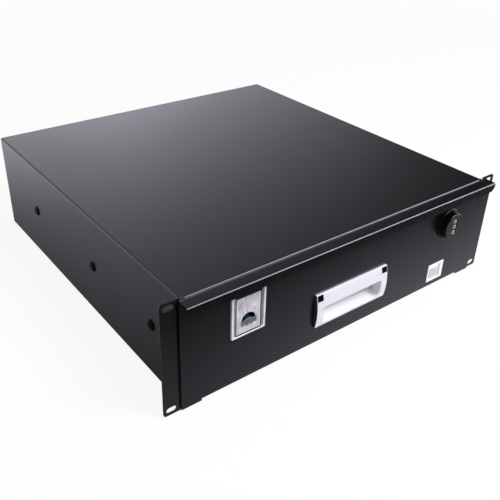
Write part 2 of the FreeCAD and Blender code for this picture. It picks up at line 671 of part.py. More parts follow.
def handle_caps():
    """Square caps over the screws, with the same bow as the handle's face."""
    half_z = CAP_HEIGHT / 2 - CAP_GAP
    seat = FRONT_FACE - CAP_SEAT
    front = FRONT_FACE - HANDLE_MID_PROUD - 1
    caps = []
    for side in (-1, 1):
        x0 = side * CAP_X - CAP_WIDTH / 2 + CAP_GAP
        x1 = side * CAP_X + CAP_WIDTH / 2 - CAP_GAP
        caps.append(bowed_block(x0, x1).common(panel(x0, x1, CAP_Z - half_z, CAP_Z + half_z, front, seat)))
    return caps


def handle_screws():
    seat = FRONT_FACE - CAP_SEAT + HANDLE_SCREW_HEAD_HEIGHT
    length = TRAY_FRONT_BACK + HANDLE_NUT_HEIGHT + SCREW_TIP - seat
    screw = screw_blank(HANDLE_SCREW_HEAD, HANDLE_SCREW_HEAD_HEIGHT, HANDLE_SCREW_RADIUS, length)
    return [placed(screw, V(side * CAP_X, seat, CAP_Z), -AXIS_Y) for side in (-1, 1)]


def handle_nuts():
    back = TRAY_FRONT_BACK + HANDLE_NUT_HEIGHT
    nuts = []
    for side in (-1, 1):
        nut = hex_bar(side * CAP_X, CAP_Z, HANDLE_NUT_FLATS, TRAY_FRONT_BACK, back)
        bore = round_bar(side * CAP_X, CAP_Z, HANDLE_SCREW_RADIUS, TRAY_FRONT_BACK - 1, back + 1)
        nuts.append(nut.cut(bore))
    return nuts


# ---- latch ---------------------------------------------------------------
def latch_box(x_half, z0, z1, y0, y1, corner=0.0):
    """Plate or block given from the latch's own centre."""
    return panel(LATCH_X - x_half, LATCH_X + x_half, LATCH_Z + z0, LATCH_Z + z1, y0, y1, corner)


def latch_housing():
    """Rim with a tall outer ridge and a lower inner step, and the bolt's box behind it."""
    half_w = LATCH_WIDTH / 2
    half_h = LATCH_HEIGHT / 2
    bay = half_w - LATCH_RAIL
    bay_foot = LATCH_FOOT_RAIL - half_h
    rim_face = LATCH_FACE - LATCH_RAIL_PROUD
    above = half_h + 1
    housing = latch_box(half_w, -half_h, half_h, rim_face, FRONT_FACE, LATCH_STEP)
    step = latch_box(half_w - LATCH_RIDGE, LATCH_RIDGE - half_h, above, rim_face - 1, rim_face + LATCH_STEP)
    housing = housing.cut(step)
    housing = housing.cut(latch_box(bay, bay_foot, above, rim_face - 1, LATCH_FACE))
    housing = housing.cut(latch_box(bay, half_h - LATCH_OPEN_TOP, above, rim_face - 1, FRONT_FACE + 1))
    back = FRONT_FACE + LATCH_BOX_DEPTH
    bolt_box = latch_box(LATCH_BOX_HALF_WIDTH, -LATCH_BOX_BELOW, LATCH_BOX_ABOVE, FRONT_FACE, back)
    housing = housing.fuse(bolt_box)
    hollow_half = LATCH_BOX_HALF_WIDTH - LATCH_BOX_WALL
    hollow_foot = LATCH_BOX_WALL - LATCH_BOX_BELOW
    hollow = latch_box(hollow_half, hollow_foot, LATCH_BOX_ABOVE + 1, rim_face - 1, back - LATCH_BOX_WALL)
    return housing.cut(hollow).removeSplitter()


def latch_cover():
    half_w = LATCH_WIDTH / 2 - LATCH_RAIL - LATCH_COVER_GAP
    foot = LATCH_FOOT_RAIL - LATCH_HEIGHT / 2 + LATCH_COVER_GAP
    head = LATCH_HEIGHT / 2 - LATCH_OPEN_TOP
    front = LATCH_FACE - LATCH_COVER_SHEET
    plate = latch_box(half_w, foot, head, front, LATCH_FACE, 0.4)
    moon = round_bar(LATCH_X, LATCH_Z + MOON_Z, MOON_RADIUS, front - 1, LATCH_FACE + 1)
    keep = latch_box(MOON_RADIUS + 1, MOON_Z - MOON_RADIUS - 1, MOON_Z + MOON_CUT, front - 2, LATCH_FACE + 2)
    return plate.cut(moon.cut(keep))


def latch_bolt():
    """Flat bolt with a wide foot in the box, a narrow bevelled nose and a finger tab."""
    back = FRONT_FACE + LATCH_BOX_DEPTH - LATCH_BOX_WALL - BOLT_SIDE_GAP
    wide = LATCH_BOX_HALF_WIDTH - LATCH_BOX_WALL - BOLT_SIDE_GAP
    nose = BOLT_NOSE_HALF_WIDTH
    foot_z = LATCH_Z + BOLT_FOOT_Z
    shoulder_z = LATCH_Z + BOLT_SHOULDER_Z
    outline = [(-wide, foot_z), (wide, foot_z), (wide, shoulder_z), (nose, shoulder_z),
               (nose, BOLT_TOP), (-nose, BOLT_TOP), (-nose, shoulder_z), (-wide, shoulder_z)]
    points = [V(LATCH_X + x, BOLT_FRONT, z) for x, z in outline]
    bolt = prism(points, [0] * 8, V(0, back - BOLT_FRONT, 0))
    x0 = LATCH_X - nose - 1
    low = BOLT_TOP - BOLT_BEVEL
    wedge = [V(x0, back - BOLT_BEVEL, BOLT_TOP), V(x0, back, low), V(x0, back + 1, low),
             V(x0, back + 1, BOLT_TOP + 1), V(x0, back - BOLT_BEVEL, BOLT_TOP + 1)]
    bolt = bolt.cut(prism(wedge, [0] * 5, V(2 * nose + 2, 0, 0)))

    # neck through the window, and a finger pad in front of the cover
    pad_back = LATCH_FACE - LATCH_COVER_SHEET - TAB_GAP
    pad_front = pad_back - TAB_THICKNESS
    neck_foot = MOON_Z + MOON_CUT + TAB_GAP
    neck = latch_box(TAB_NECK_HALF_WIDTH, neck_foot, neck_foot + TAB_NECK_HEIGHT, pad_back, BOLT_FRONT)
    foot_z = LATCH_Z + TAB_TOP_Z - TAB_HEIGHT
    top_z = LATCH_Z + TAB_TOP_Z
    pad = [V(LATCH_X - TAB_HALF_WIDTH, pad_front, foot_z), V(LATCH_X + TAB_HALF_WIDTH, pad_front, foot_z),
           V(LATCH_X + TAB_HALF_WIDTH, pad_front, top_z), V(LATCH_X - TAB_HALF_WIDTH, pad_front, top_z)]
    corner = TAB_CORNER
    bolt = bolt.fuse(prism(pad, [corner, corner, 0, 0], V(0, TAB_THICKNESS, 0)))
    return bolt.fuse(neck)


# ---- combination lock ----------------------------------------------------
def lock_collar():
    """Sloping ring around the foot of the knob."""
    front = FRONT_FACE - COLLAR_HEIGHT
    points = [V(COLLAR_BORE, FRONT_FACE, 0), V(COLLAR_RADIUS, FRONT_FACE, 0),
              V(COLLAR_RADIUS, front + COLLAR_EDGE, 0), V(COLLAR_RADIUS - COLLAR_EDGE, front, 0),
              V(COLLAR_BORE, front, 0)]
    ring = Part.Face(Part.makePolygon(points + points[:1])).revolve(V(0, 0, 0), AXIS_Y, 360)
    ring.translate(V(LOCK_X, 0, LOCK_Z))
    return ring


def lock_barrel():
    barrel = round_bar(LOCK_X, LOCK_Z, BARREL_RADIUS, FRONT_FACE, BARREL_END)
    flange_front = FRONT_FACE - BARREL_FLANGE
    barrel = barrel.fuse(round_bar(LOCK_X, LOCK_Z, BARREL_FLANGE_RADIUS, flange_front, FRONT_FACE))
    bore = round_bar(LOCK_X, LOCK_Z, SPINDLE_RADIUS + SPINDLE_GAP, FRONT_FACE - 5, BARREL_END + 5)
    return barrel.cut(bore).removeSplitter()


def lock_nut():
    back = TRAY_FRONT_BACK + LOCK_NUT_HEIGHT
    nut = hex_bar(LOCK_X, LOCK_Z, LOCK_NUT_FLATS, TRAY_FRONT_BACK, back)
    return nut.cut(round_bar(LOCK_X, LOCK_Z, BARREL_RADIUS, TRAY_FRONT_BACK - 1, back + 1))


def lock_spindle():
    """Disc under the knob, round shaft in the barrel, square end for the cam."""
    spindle = round_bar(LOCK_X, LOCK_Z, SPINDLE_DISC_RADIUS, KNOB_BACK, SPINDLE_DISC_BACK)
    spindle = spindle.fuse(round_bar(LOCK_X, LOCK_Z, SPINDLE_RADIUS, SPINDLE_DISC_BACK, BARREL_END))
    half = SPINDLE_SQUARE / 2
    end = BARREL_END + CAM_SHEET
    square = panel(LOCK_X - half, LOCK_X + half, LOCK_Z - half, LOCK_Z + half, BARREL_END, end)
    thread = round_bar(LOCK_X, LOCK_Z, CAM_SCREW_RADIUS, end - CAM_SCREW_LENGTH, end + 1)
    return spindle.fuse(square).cut(thread).removeSplitter()


def lock_knob():
    """Tapered knob with three windows for the number dials."""
    points = [V(0, KNOB_BACK, 0), V(KNOB_BASE_RADIUS, KNOB_BACK, 0),
              V(KNOB_FACE_RADIUS, KNOB_FRONT + KNOB_EDGE, 0),
              V(KNOB_FACE_RADIUS - KNOB_EDGE, KNOB_FRONT, 0), V(0, KNOB_FRONT, 0)]
    knob = Part.Face(Part.makePolygon(points + points[:1])).revolve(V(0, 0, 0), AXIS_Y, 360)
    knob.translate(V(LOCK_X, 0, LOCK_Z))
    half_x = DIAL_RADIUS + DIAL_RIM_GAP
    half_z = DIAL_WIDTH / 2 + DIAL_SIDE_GAP
    for level in (-1, 0, 1):
        z = LOCK_Z + level * DIAL_PITCH
        front = KNOB_FRONT - 1
        back = KNOB_BACK + 1
        knob = knob.cut(panel(LOCK_X - half_x, LOCK_X + half_x, z - half_z, z + half_z, front, back))
    return knob.cut(axle_bar(AXLE_RADIUS)).removeSplitter()


def axle_bar(radius):
    foot = V(LOCK_X, AXLE_Y, LOCK_Z - AXLE_HALF_LENGTH)
    return Part.makeCylinder(radius, 2 * AXLE_HALF_LENGTH, foot, AXIS_Z)


def dial(level):
    z = LOCK_Z + level * DIAL_PITCH - DIAL_WIDTH / 2
    wheel = Part.makeCylinder(DIAL_RADIUS, DIAL_WIDTH, V(LOCK_X, AXLE_Y, z), AXIS_Z)
    return wheel.cut(axle_bar(AXLE_RADIUS + DIAL_BORE_GAP))


def lock_cam():
    """Flat hub with an arm that steps forward to reach behind the hood flange."""
    y = BARREL_END + CAM_SHEET / 2
    half = CAM_WIDTH / 2
    bend_x = LOCK_X - CAM_JOGGLE_START
    path = [V(LOCK_X + half, y, LOCK_Z - half), V(bend_x, y, LOCK_Z - half),
            V(bend_x - CAM_JOGGLE_RUN, y - CAM_JOGGLE, LOCK_Z - half),
            V(LOCK_X - CAM_LENGTH, y - CAM_JOGGLE, LOCK_Z - half)]
    arm = folded(path, CAM_SHEET, V(0, 0, CAM_WIDTH))
    tip = LOCK_X - CAM_LENGTH - 1
    arm = arm.common(panel(tip, LOCK_X + half, LOCK_Z - half, LOCK_Z + half, y - 20, y + 20, half - 0.01))
    side = SPINDLE_SQUARE / 2
    hole = panel(LOCK_X - side, LOCK_X + side, LOCK_Z - side, LOCK_Z + side, y - 5, y + 5)
    return arm.cut(hole)


def cam_screw():
    screw = screw_blank(CAM_SCREW_HEAD, CAM_SCREW_HEAD_HEIGHT, CAM_SCREW_RADIUS, CAM_SCREW_LENGTH)
    return placed(screw, V(LOCK_X, BARREL_END + CAM_SHEET, LOCK_Z), AXIS_Y)


# ---- build ---------------------------------------------------------------
save("case_shell", case_shell())
save("floor_panel", floor_panel())
save("floor_rivets", *floor_rivets())
save("rear_panel", rear_panel())
save_pair("case_screws", *case_screws())
save_pair("slide_outer", slide_outer())
save_pair("slide_middle", slide_middle())
save_pair("slide_inner", slide_inner())
save_pair("tray_screws", *tray_screws())

save_pair("cage_outer", ball_cage(OUTER_CAGE_WEB, OUTER_CAGE_TIP, OUTER_BALL_U, BALL_ROW_OUTER))
save_pair("balls_outer", *balls(OUTER_BALL_U, BALL_ROW_OUTER))
save_pair("cage_inner", ball_cage(INNER_CAGE_WEB, INNER_CAGE_TIP, INNER_BALL_U, BALL_ROW_INNER))
save_pair("balls_inner", *balls(INNER_BALL_U, BALL_ROW_INNER))

save("drawer_front", drawer_front())
save("drawer_tray", drawer_tray())
save("handle_shell", handle_shell())
save("handle_caps", *handle_caps())
save("handle_screws", *handle_screws())
save("handle_nuts", *handle_nuts())
save("latch_housing", latch_housing())
save("latch_cover", latch_cover())
save("latch_bolt", latch_bolt())
save("lock_collar", lock_collar())
save("lock_barrel", lock_barrel())
save("lock_nut", lock_nut())
save("lock_knob", lock_knob())
save("lock_spindle", lock_spindle())
save("dial_axle", axle_bar(AXLE_RADIUS))
save("lock_cam", lock_cam())
save("cam_screw", cam_screw())
save("dial_top", dial(1))
save("dial_middle", dial(0))
save("dial_bottom", dial(-1))
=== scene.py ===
# %% [markdown]
# # A sliding rack drawer
# This lesson dresses a packed drawer: black powder-coated sheet steel, a silver pull, a plated
# latch and a number lock. The imported model is the frame, so nothing here is moved or resized.
# We load it first and keep its box.

# %% Load the frame
import bmesh
import bpy
import json
import math
from mathutils import Matrix, Vector

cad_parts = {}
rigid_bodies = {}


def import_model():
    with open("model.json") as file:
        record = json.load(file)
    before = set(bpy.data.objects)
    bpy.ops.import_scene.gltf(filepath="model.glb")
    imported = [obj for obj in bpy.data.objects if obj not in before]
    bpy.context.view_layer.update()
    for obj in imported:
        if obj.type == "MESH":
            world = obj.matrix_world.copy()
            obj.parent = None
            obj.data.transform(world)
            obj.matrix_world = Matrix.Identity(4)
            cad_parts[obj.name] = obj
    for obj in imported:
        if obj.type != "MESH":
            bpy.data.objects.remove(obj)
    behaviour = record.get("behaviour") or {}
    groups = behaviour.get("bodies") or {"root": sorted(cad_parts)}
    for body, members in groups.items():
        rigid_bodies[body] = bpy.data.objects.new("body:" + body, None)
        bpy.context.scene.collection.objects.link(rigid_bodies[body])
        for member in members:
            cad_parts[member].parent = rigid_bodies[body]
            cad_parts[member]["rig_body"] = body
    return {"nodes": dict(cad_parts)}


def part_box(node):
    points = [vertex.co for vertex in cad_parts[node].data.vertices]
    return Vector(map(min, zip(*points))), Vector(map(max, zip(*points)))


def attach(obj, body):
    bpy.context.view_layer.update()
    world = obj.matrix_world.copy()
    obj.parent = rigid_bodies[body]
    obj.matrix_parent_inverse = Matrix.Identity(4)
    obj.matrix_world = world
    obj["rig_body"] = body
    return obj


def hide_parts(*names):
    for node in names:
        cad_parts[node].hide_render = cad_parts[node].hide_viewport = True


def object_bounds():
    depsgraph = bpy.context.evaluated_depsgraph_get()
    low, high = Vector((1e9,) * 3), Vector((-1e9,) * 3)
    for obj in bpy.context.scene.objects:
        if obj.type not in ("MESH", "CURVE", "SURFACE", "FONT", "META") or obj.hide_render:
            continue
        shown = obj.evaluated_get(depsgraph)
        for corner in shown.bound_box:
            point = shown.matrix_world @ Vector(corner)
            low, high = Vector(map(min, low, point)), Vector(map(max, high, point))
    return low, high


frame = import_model()
cad_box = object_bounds()
print("frame box", [[round(v, 4) for v in corner] for corner in cad_box])

# %% [markdown]
# Lengths on the drawer are easiest to think of in millimetres, and Blender works in metres, so one
# number turns one into the other. `corners` reads a node's box as two vectors, which is how every
# later piece finds its place. The case is folded from steel sheet 1.5 millimetres thick.

# %% Sizes and places
MM = 0.001
SHEET = 1.5
X_AXIS = Vector((1, 0, 0))
Y_AXIS = Vector((0, 1, 0))
Z_AXIS = Vector((0, 0, 1))


def corners(name):
    low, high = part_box(name)
    return Vector(low), Vector(high)


def middle(name):
    low, high = corners(name)
    return (low + high) / 2


floor_level = cad_box[0][2]
lock_axis = middle("lock_collar")
latch_axis = middle("latch_housing")
front_face = corners("latch_housing")[0].y
case_side = corners("rear_panel")[1].x + SHEET * MM
print("lock axis", [round(v, 4) for v in lock_axis], "case side", round(case_side, 4))

# %% [markdown]
# ## Camera
# The drawer is seen from the front, the left and above, with a slightly long lens, so that its
# edges keep nearly parallel. A camera is easiest to aim by giving its own three axes as columns
# of a matrix: right, up, and back from what it looks at.

# %% Camera
right = Vector((0.79741347, -0.60290709, 0.02519505))
up = Vector((0.281278, 0.408314, 0.868425))
ahead = Vector((0.53386706, 0.68540693, -0.49518006))
eye = Vector((-0.47118, -0.41583, 0.413915))
turn = Matrix((right, up, -ahead)).transposed().to_4x4()
lens = bpy.data.cameras.new("camera")
lens.lens = 48.29
lens.sensor_width = 36
lens.shift_x = 0.0068
lens.shift_y = -0.0431
lens.clip_end = 50
camera = bpy.data.objects.new("camera", lens)
camera.matrix_world = Matrix.Translation(eye) @ turn
bpy.context.collection.objects.link(camera)
bpy.context.scene.camera = camera
bpy.context.scene.view_settings.view_transform = "Standard"
print("camera", [round(v, 3) for v in eye])

# %% [markdown]
# ## Helpers for materials
# A colour is given as an sRGB hex value, but shaders work with linear light, so one
# function turns the one into the other. Another adds a node, sets its options and fills its
# sockets, each with a value or with a link from another node. A third starts a new finish.

# %% Material helpers
def colour(hex_value):
    """Linear RGBA of an sRGB hex colour."""
    parts = [int(hex_value[i:i + 2], 16) / 255 for i in (1, 3, 5)]
    linear = [p / 12.92 if p <= 0.04045 else ((p + 0.055) / 1.055) ** 2.4 for p in parts]
    return (*linear, 1.0)


def add_node(tree, kind, sockets, **settings):
    made = tree.nodes.new(kind)
    for name, value in settings.items():
        setattr(made, name, value)
    for name, value in sockets.items():
        if isinstance(value, bpy.types.NodeSocket):
            tree.links.new(value, made.inputs[name])
        else:
            made.inputs[name].default_value = value
    return made


def blank_finish(name):
    """A new material, with its tree, its main shader and the object's own coordinates."""
    material = bpy.data.materials.new(name)
    material.use_nodes = True
    tree = material.node_tree
    place = add_node(tree, "ShaderNodeTexCoord", {}).outputs["Object"]
    return material, tree, tree.nodes["Principled BSDF"], place


print("white is", colour("#ffffff"))

# %% [markdown]
# ## Uneven surfaces
# No real finish is perfectly even, so each gets noise of a size that is known in millimetres. Noise
# could be used as it comes, but it hardly leaves the range from 0.3 to 0.7, so a function widens
# that range. The last one turns the noise into a colour that wanders between two tones.

# %% Noise in millimetres
def noise(tree, place, size_mm, detail=2.0, stretch=(1, 1, 1)):
    """Noise whose patches are about size_mm across, longer along an axis where stretch is over 1."""
    scale = [1 / (size_mm * MM * s) for s in stretch]
    mapped = add_node(tree, "ShaderNodeMapping", {"Vector": place, "Scale": scale})
    sockets = {"Vector": mapped.outputs["Vector"], "Scale": 1.0, "Detail": detail}
    return add_node(tree, "ShaderNodeTexNoise", sockets).outputs["Fac"]


def spread(tree, patches, low, high):
    """Widens a noise of about 0.3 to 0.7 to a range of its own."""
    sockets = {"Value": patches, "From Min": 0.3, "From Max": 0.7, "To Min": low, "To Max": high}
    return add_node(tree, "ShaderNodeMapRange", sockets).outputs["Result"]


def patchy_colour(tree, patches, dark, light):
    """A colour that wanders between two hex tones as the noise does."""
    tones = {0: spread(tree, patches, 0.0, 1.0), 6: colour(dark), 7: colour(light)}
    return add_node(tree, "ShaderNodeMix", tones, data_type="RGBA").outputs[2]


print("one millimetre is", MM, "of Blender's units")

# %% [markdown]
# ## Floor
# The drawer stands on matt white paper in a white studio. The paper has to take the drawer's
# shadow and still end in plain white, without a horizon. So it is part paper and part plain white
# light, and the light's share grows with distance. Only the camera and reflections see that light,
# so it adds nothing to what falls on the drawer.

# %% Floor
FLOOR_HALF = 40
WHITE_FROM = 0.6
WHITE_ALL = 3.0


def flat_sheet(name, points):
    """One flat face through the points."""
    mesh = bpy.data.meshes.new(name)
    bm = bmesh.new()
    bm.faces.new([bm.verts.new(point) for point in points])
    bm.to_mesh(mesh)
    bm.free()
    sheet = bpy.data.objects.new(name, mesh)
    bpy.context.collection.objects.link(sheet)
    return sheet


def level_sheet(name, x_low, x_high, y_low, y_high, z):
    """A flat sheet that lies level."""
    return flat_sheet(name, [(x_low, y_low, z), (x_high, y_low, z), (x_high, y_high, z), (x_low, y_high, z)])


def seen_directly(tree, share):
    """The share, for the camera and for what metal and glass show. Zero for light that is passed on.
    The share is a value or a link."""
    path = add_node(tree, "ShaderNodeLightPath", {})
    seen = path.outputs["Is Camera Ray"]
    for kind in ("Is Glossy Ray", "Is Transmission Ray"):
        both = {0: seen, 1: path.outputs[kind]}
        seen = add_node(tree, "ShaderNodeMath", both, operation="MAXIMUM").outputs[0]
    return add_node(tree, "ShaderNodeMath", {0: seen, 1: share}, operation="MULTIPLY").outputs[0]


floor = level_sheet("floor", -FLOOR_HALF, FLOOR_HALF, -FLOOR_HALF, FLOOR_HALF, floor_level)
paper, tree, shader, place = blank_finish("matt_white_paper")
shader.inputs["Base Color"].default_value = colour("#f2f2f2")
shader.inputs["Roughness"].default_value = 0.9
shader.inputs["Specular IOR Level"].default_value = 0.1
white = add_node(tree, "ShaderNodeEmission", {"Color": (1, 1, 1, 1), "Strength": 1.0})
far = add_node(tree, "ShaderNodeVectorMath", {0: place}, operation="LENGTH").outputs["Value"]
sockets = {"Value": far, "From Min": WHITE_FROM, "From Max": WHITE_ALL, "To Min": 0.9, "To Max": 1.0}
share = add_node(tree, "ShaderNodeMapRange", sockets).outputs["Result"]
halves = {0: seen_directly(tree, share), 1: shader.outputs[0], 2: white.outputs[0]}
mixed = add_node(tree, "ShaderNodeMixShader", halves)
tree.links.new(mixed.outputs[0], tree.nodes["Material Output"].inputs["Surface"])
floor.data.materials.append(paper)
print("floor at", round(floor_level, 4))

# %% [markdown]
# ## White surround
# The studio's walls are white too. The world could be one white, but that would light the drawer
# from all sides and wash out its black. So it looks white to the camera and to reflections, and
# lights the drawer with only a little over a quarter of that.

# %% World
world = bpy.data.worlds.new("white_studio")
bpy.context.scene.world = world
world.use_nodes = True
tree = world.node_tree
ambient = add_node(tree, "ShaderNodeBackground", {"Color": (1, 1, 1, 1), "Strength": 0.28})
backdrop = add_node(tree, "ShaderNodeBackground", {"Color": (1, 1, 1, 1), "Strength": 1.0})
halves = {0: seen_directly(tree, 1.0), 1: ambient.outputs[0], 2: backdrop.outputs[0]}
shown = add_node(tree, "ShaderNodeMixShader", halves)
tree.links.new(shown.outputs[0], tree.nodes["World Output"].inputs["Surface"])
print("world", world.name)

# %% [markdown]
# ## Sheets for reflections
# Black powder coat shows little colour of its own; what the eye reads is the surround mirrored in
# it. Real studios shape that with lit and unlit cards. Here each card is a sheet that gives off
# light of its own and that only reflections see, so it lights nothing and hides nothing. `along`
# gives a value that changes evenly along a direction, which is how a card's light fades.

# %% Sheets that only reflections see
SHEET_TINT = (0.97, 0.94, 1.06, 1)


def gloss_only(sheet):
    """Only reflections see this sheet, so it lights nothing and hides nothing."""
    sheet.visible_camera = False
    sheet.visible_diffuse = False
    sheet.visible_transmission = False
    sheet.visible_shadow = False


def glowing(sheet, name, level):
    """Gives a sheet its own light. The level is a function of the tree and the place."""
    material, tree, shader, place = blank_finish(name)
    tree.nodes.remove(shader)
    emission = add_node(tree, "ShaderNodeEmission", {"Color": SHEET_TINT, "Strength": level(tree, place)})
    tree.links.new(emission.outputs[0], tree.nodes["Material Output"].inputs["Surface"])
    sheet.data.materials.append(material)


def along(tree, place, axis, start, end, first, last):
    """A value that goes from first to last between two distances along an axis."""
    both = {0: place, 1: axis}
    reach = add_node(tree, "ShaderNodeVectorMath", both, operation="DOT_PRODUCT").outputs["Value"]
    sockets = {"Value": reach, "From Min": start, "From Max": end, "To Min": first, "To Max": last}
    return add_node(tree, "ShaderNodeMapRange", sockets).outputs["Result"]


print("tint of the sheets", SHEET_TINT[:3])

# %% [markdown]
# ## Reflection card
# A tall card stands three metres behind the drawer. It is bright on the left and falls to dark on
# the right, as a soft box beside an unlit corner does, and it gives the lid its slow fade. Each
# stop of the fade is a distance from the card's middle and a level, where 1 is white. Upwards the
# level falls by an equal ratio with each step, which the eye reads as an even fade. A ramp holds
# no value over 1, so it carries half of each level, and the fade upwards makes up for that.

# %% Reflection card
CARD_TURN = math.radians(40)
CARD_AWAY = 3.0
CARD_HALF_WIDTH = 3.4
CARD_HEIGHT = 5
CARD_FADE = [(-1.3, 1.5), (-1.0, 1.6), (-0.5, 1.0), (-0.1, 0.65), (0.35, 0.38), (0.6, 0.2), (1.0, 0.03)]
FADE_REACH = 2.0
card_ahead = Vector((math.sin(CARD_TURN), math.cos(CARD_TURN), 0))
card_side = Vector((math.cos(CARD_TURN), -math.sin(CARD_TURN), 0))
card_foot = card_ahead * CARD_AWAY + Z_AXIS * floor_level
card_points = [card_foot + card_side * (CARD_HALF_WIDTH * side) + Z_AXIS * (CARD_HEIGHT * rise)
               for side, rise in ((-1, 0), (1, 0), (1, 1), (-1, 1))]
card = flat_sheet("reflection_card", card_points)


def card_level(tree, place):
    across = along(tree, place, card_side, -FADE_REACH, FADE_REACH, 0.0, 1.0)
    ramp = add_node(tree, "ShaderNodeValToRGB", {0: across})
    for i, (where, level) in enumerate(CARD_FADE):
        stop = ramp.color_ramp.elements[i] if i < 2 else ramp.color_ramp.elements.new(1.0)
        stop.position = (where + FADE_REACH) / (2 * FADE_REACH)
        stop.color = (level / 2, level / 2, level / 2, 1)
    power = along(tree, place, Z_AXIS, start=0.5, end=2.5, first=1.68, last=-1.24)
    fade = add_node(tree, "ShaderNodeMath", {0: power}, operation="EXPONENT").outputs[0]
    both = {0: ramp.outputs["Color"], 1: fade}
    return add_node(tree, "ShaderNodeMath", both, operation="MULTIPLY").outputs[0]


glowing(card, "soft_box_fade", card_level)
gloss_only(card)
print("card at", [round(v, 2) for v in card_foot])

# %% [markdown]
# ## Table seen in reflections
# The drawer stands near the front edge of a white table. Its front mirrors the strip of table at
# its foot and then the dark room beyond, so it fades upwards. Its left side mirrors the table
# behind, which is brighter away from the drawer and towards the back. Two more sheets, a hair
# above the floor, carry that for reflections alone.

# %% Table seen in reflections
TABLE_REACH = 3
STRIPS_MEET = 0.004
LEFT_STRIP_EDGE = -0.2
hair = floor_level + 0.2 * MM
front_strip = level_sheet("front_glow", -TABLE_REACH, TABLE_REACH, -TABLE_REACH, STRIPS_MEET, hair)
left_strip = level_sheet("left_glow", -TABLE_REACH, LEFT_STRIP_EDGE, STRIPS_MEET, TABLE_REACH, hair)


def front_level(tree, place):
    away = along(tree, place, -Y_AXIS, start=0.0, end=0.166, first=1.12, last=0.0)
    across = along(tree, place, X_AXIS, start=-0.36, end=0.08, first=0.18, last=0.74)
    return add_node(tree, "ShaderNodeMath", {0: away, 1: across}, operation="MULTIPLY").outputs[0]


def left_level(tree, place):
    away = along(tree, place, -X_AXIS, start=case_side, end=0.5, first=0.3, last=1.22)
    back = along(tree, place, Y_AXIS, start=0.0, end=0.9, first=0.38, last=1.6)
    corner = along(tree, place, Y_AXIS, start=0.42, end=0.68, first=1.0, last=1.52)
    level = add_node(tree, "ShaderNodeMath", {0: away, 1: back}, operation="MULTIPLY").outputs[0]
    return add_node(tree, "ShaderNodeMath", {0: level, 1: corner}, operation="MULTIPLY").outputs[0]


STRIPS = ((front_strip, "table_front_fade", front_level), (left_strip, "table_left_fade", left_level))
for strip, name, level in STRIPS:
    glowing(strip, name, level)
    gloss_only(strip)
    print("strip", strip.name)

# %% [markdown]
# ## Dark room and edge light
# In front of the table the studio is unlit. Without a dark wall there, the drawer's front would
# mirror the white surround and turn grey. High up on the right hangs a strip light. The rounded
# edges of the lip and the hood mirror it as two thin bright lines, which draw the drawer's top
# edge against its black front. From behind, the flat roof mirrors it too.

# %% Dark room and edge light in reflections
ROOM_HALF = 4
ROOM_FRONT = -2.6
ROOM_HEIGHT = 3
EDGE_LIGHT_AWAY = 2.2
EDGE_LIGHT_WAYS = ((0.2, -0.72, 0.45), (1.25, -0.72, 0.45), (1.25, -0.3, 0.78), (0.2, -0.3, 0.78))
room = flat_sheet("dark_room", [(-ROOM_HALF, ROOM_FRONT, floor_level), (ROOM_HALF, ROOM_FRONT, floor_level),
                                (ROOM_HALF, ROOM_FRONT, ROOM_HEIGHT), (-ROOM_HALF, ROOM_FRONT, ROOM_HEIGHT)])
glowing(room, "unlit_wall", lambda tree, place: 0.02)
gloss_only(room)
edge_light = flat_sheet("edge_light", [Vector(way) * EDGE_LIGHT_AWAY for way in EDGE_LIGHT_WAYS])
glowing(edge_light, "edge_soft_box", lambda tree, place: 14.0)
gloss_only(edge_light)
print("reflected", room.name, edge_light.name)

# %% [markdown]
# ## Lamps
# The light that falls on the drawer comes from three soft boxes: a large one overhead, a key in
# front and above, which fills the pull's recess, and a low one on the right, which grazes the front
# and lets the knob throw its shadow to the left. Only the low one is seen in reflections, since the
# sheets already shape the rest.

# %% Lamps
LAMP_TINT = (0.985, 0.965, 1.0)
DRAWER_MIDDLE = (0, 0.1, 0)


def soft_box(name, place, aim, width, height, level, mirrored=False):
    """A rectangular area lamp. Its level is how bright it looks, where 1 is white."""
    lamp = bpy.data.lights.new(name, "AREA")
    lamp.shape = "RECTANGLE"
    lamp.size = width
    lamp.size_y = height
    lamp.energy = level * math.pi * width * height
    lamp.color = LAMP_TINT
    holder = bpy.data.objects.new(name, lamp)
    holder.location = place
    holder.rotation_euler = (Vector(aim) - Vector(place)).to_track_quat("-Z", "Y").to_euler()
    holder.visible_glossy = mirrored
    bpy.context.collection.objects.link(holder)


soft_box("overhead_soft_box", (-0.1, 0.0, 1.9), DRAWER_MIDDLE, width=1.2, height=1.2, level=2.2)
soft_box("front_key", (0.6, -0.95, 1.5), DRAWER_MIDDLE, width=0.7, height=0.7, level=20.5)
soft_box("low_right", (1.35, -0.4, 0.08), (0.1, 0, 0), width=0.6, height=0.25, level=14.0, mirrored=True)

# %% [markdown]
# ## Powder coat
# The case and the front are cold-rolled steel with a polyester powder coat, sprayed dry and baked.
# The film flows into a satin skin with a very fine orange peel of about a third of a millimetre.
# That is too fine to show, so it is drawn about a millimetre across. The skin is a plastic, so it
# has no metallic part, and its IOR is 1.5. A roughness of about 0.3 blurs what it mirrors. The
# flat front flowed out a little smoother than the case.

# %% Powder coat
def powder_coat(name, deep, light, roughness):
    material, tree, shader, place = blank_finish(name)
    tone = patchy_colour(tree, noise(tree, place, 60), deep, light)
    gloss = spread(tree, noise(tree, place, 25), roughness - 0.01, roughness + 0.01)
    peel = {"Height": noise(tree, place, 1.1, 3.0), "Distance": 0.02 * MM, "Strength": 0.6}
    bump = add_node(tree, "ShaderNodeBump", peel)
    tree.links.new(tone, shader.inputs["Base Color"])
    tree.links.new(gloss, shader.inputs["Roughness"])
    tree.links.new(bump.outputs["Normal"], shader.inputs["Normal"])
    shader.inputs["IOR"].default_value = 1.5
    return material


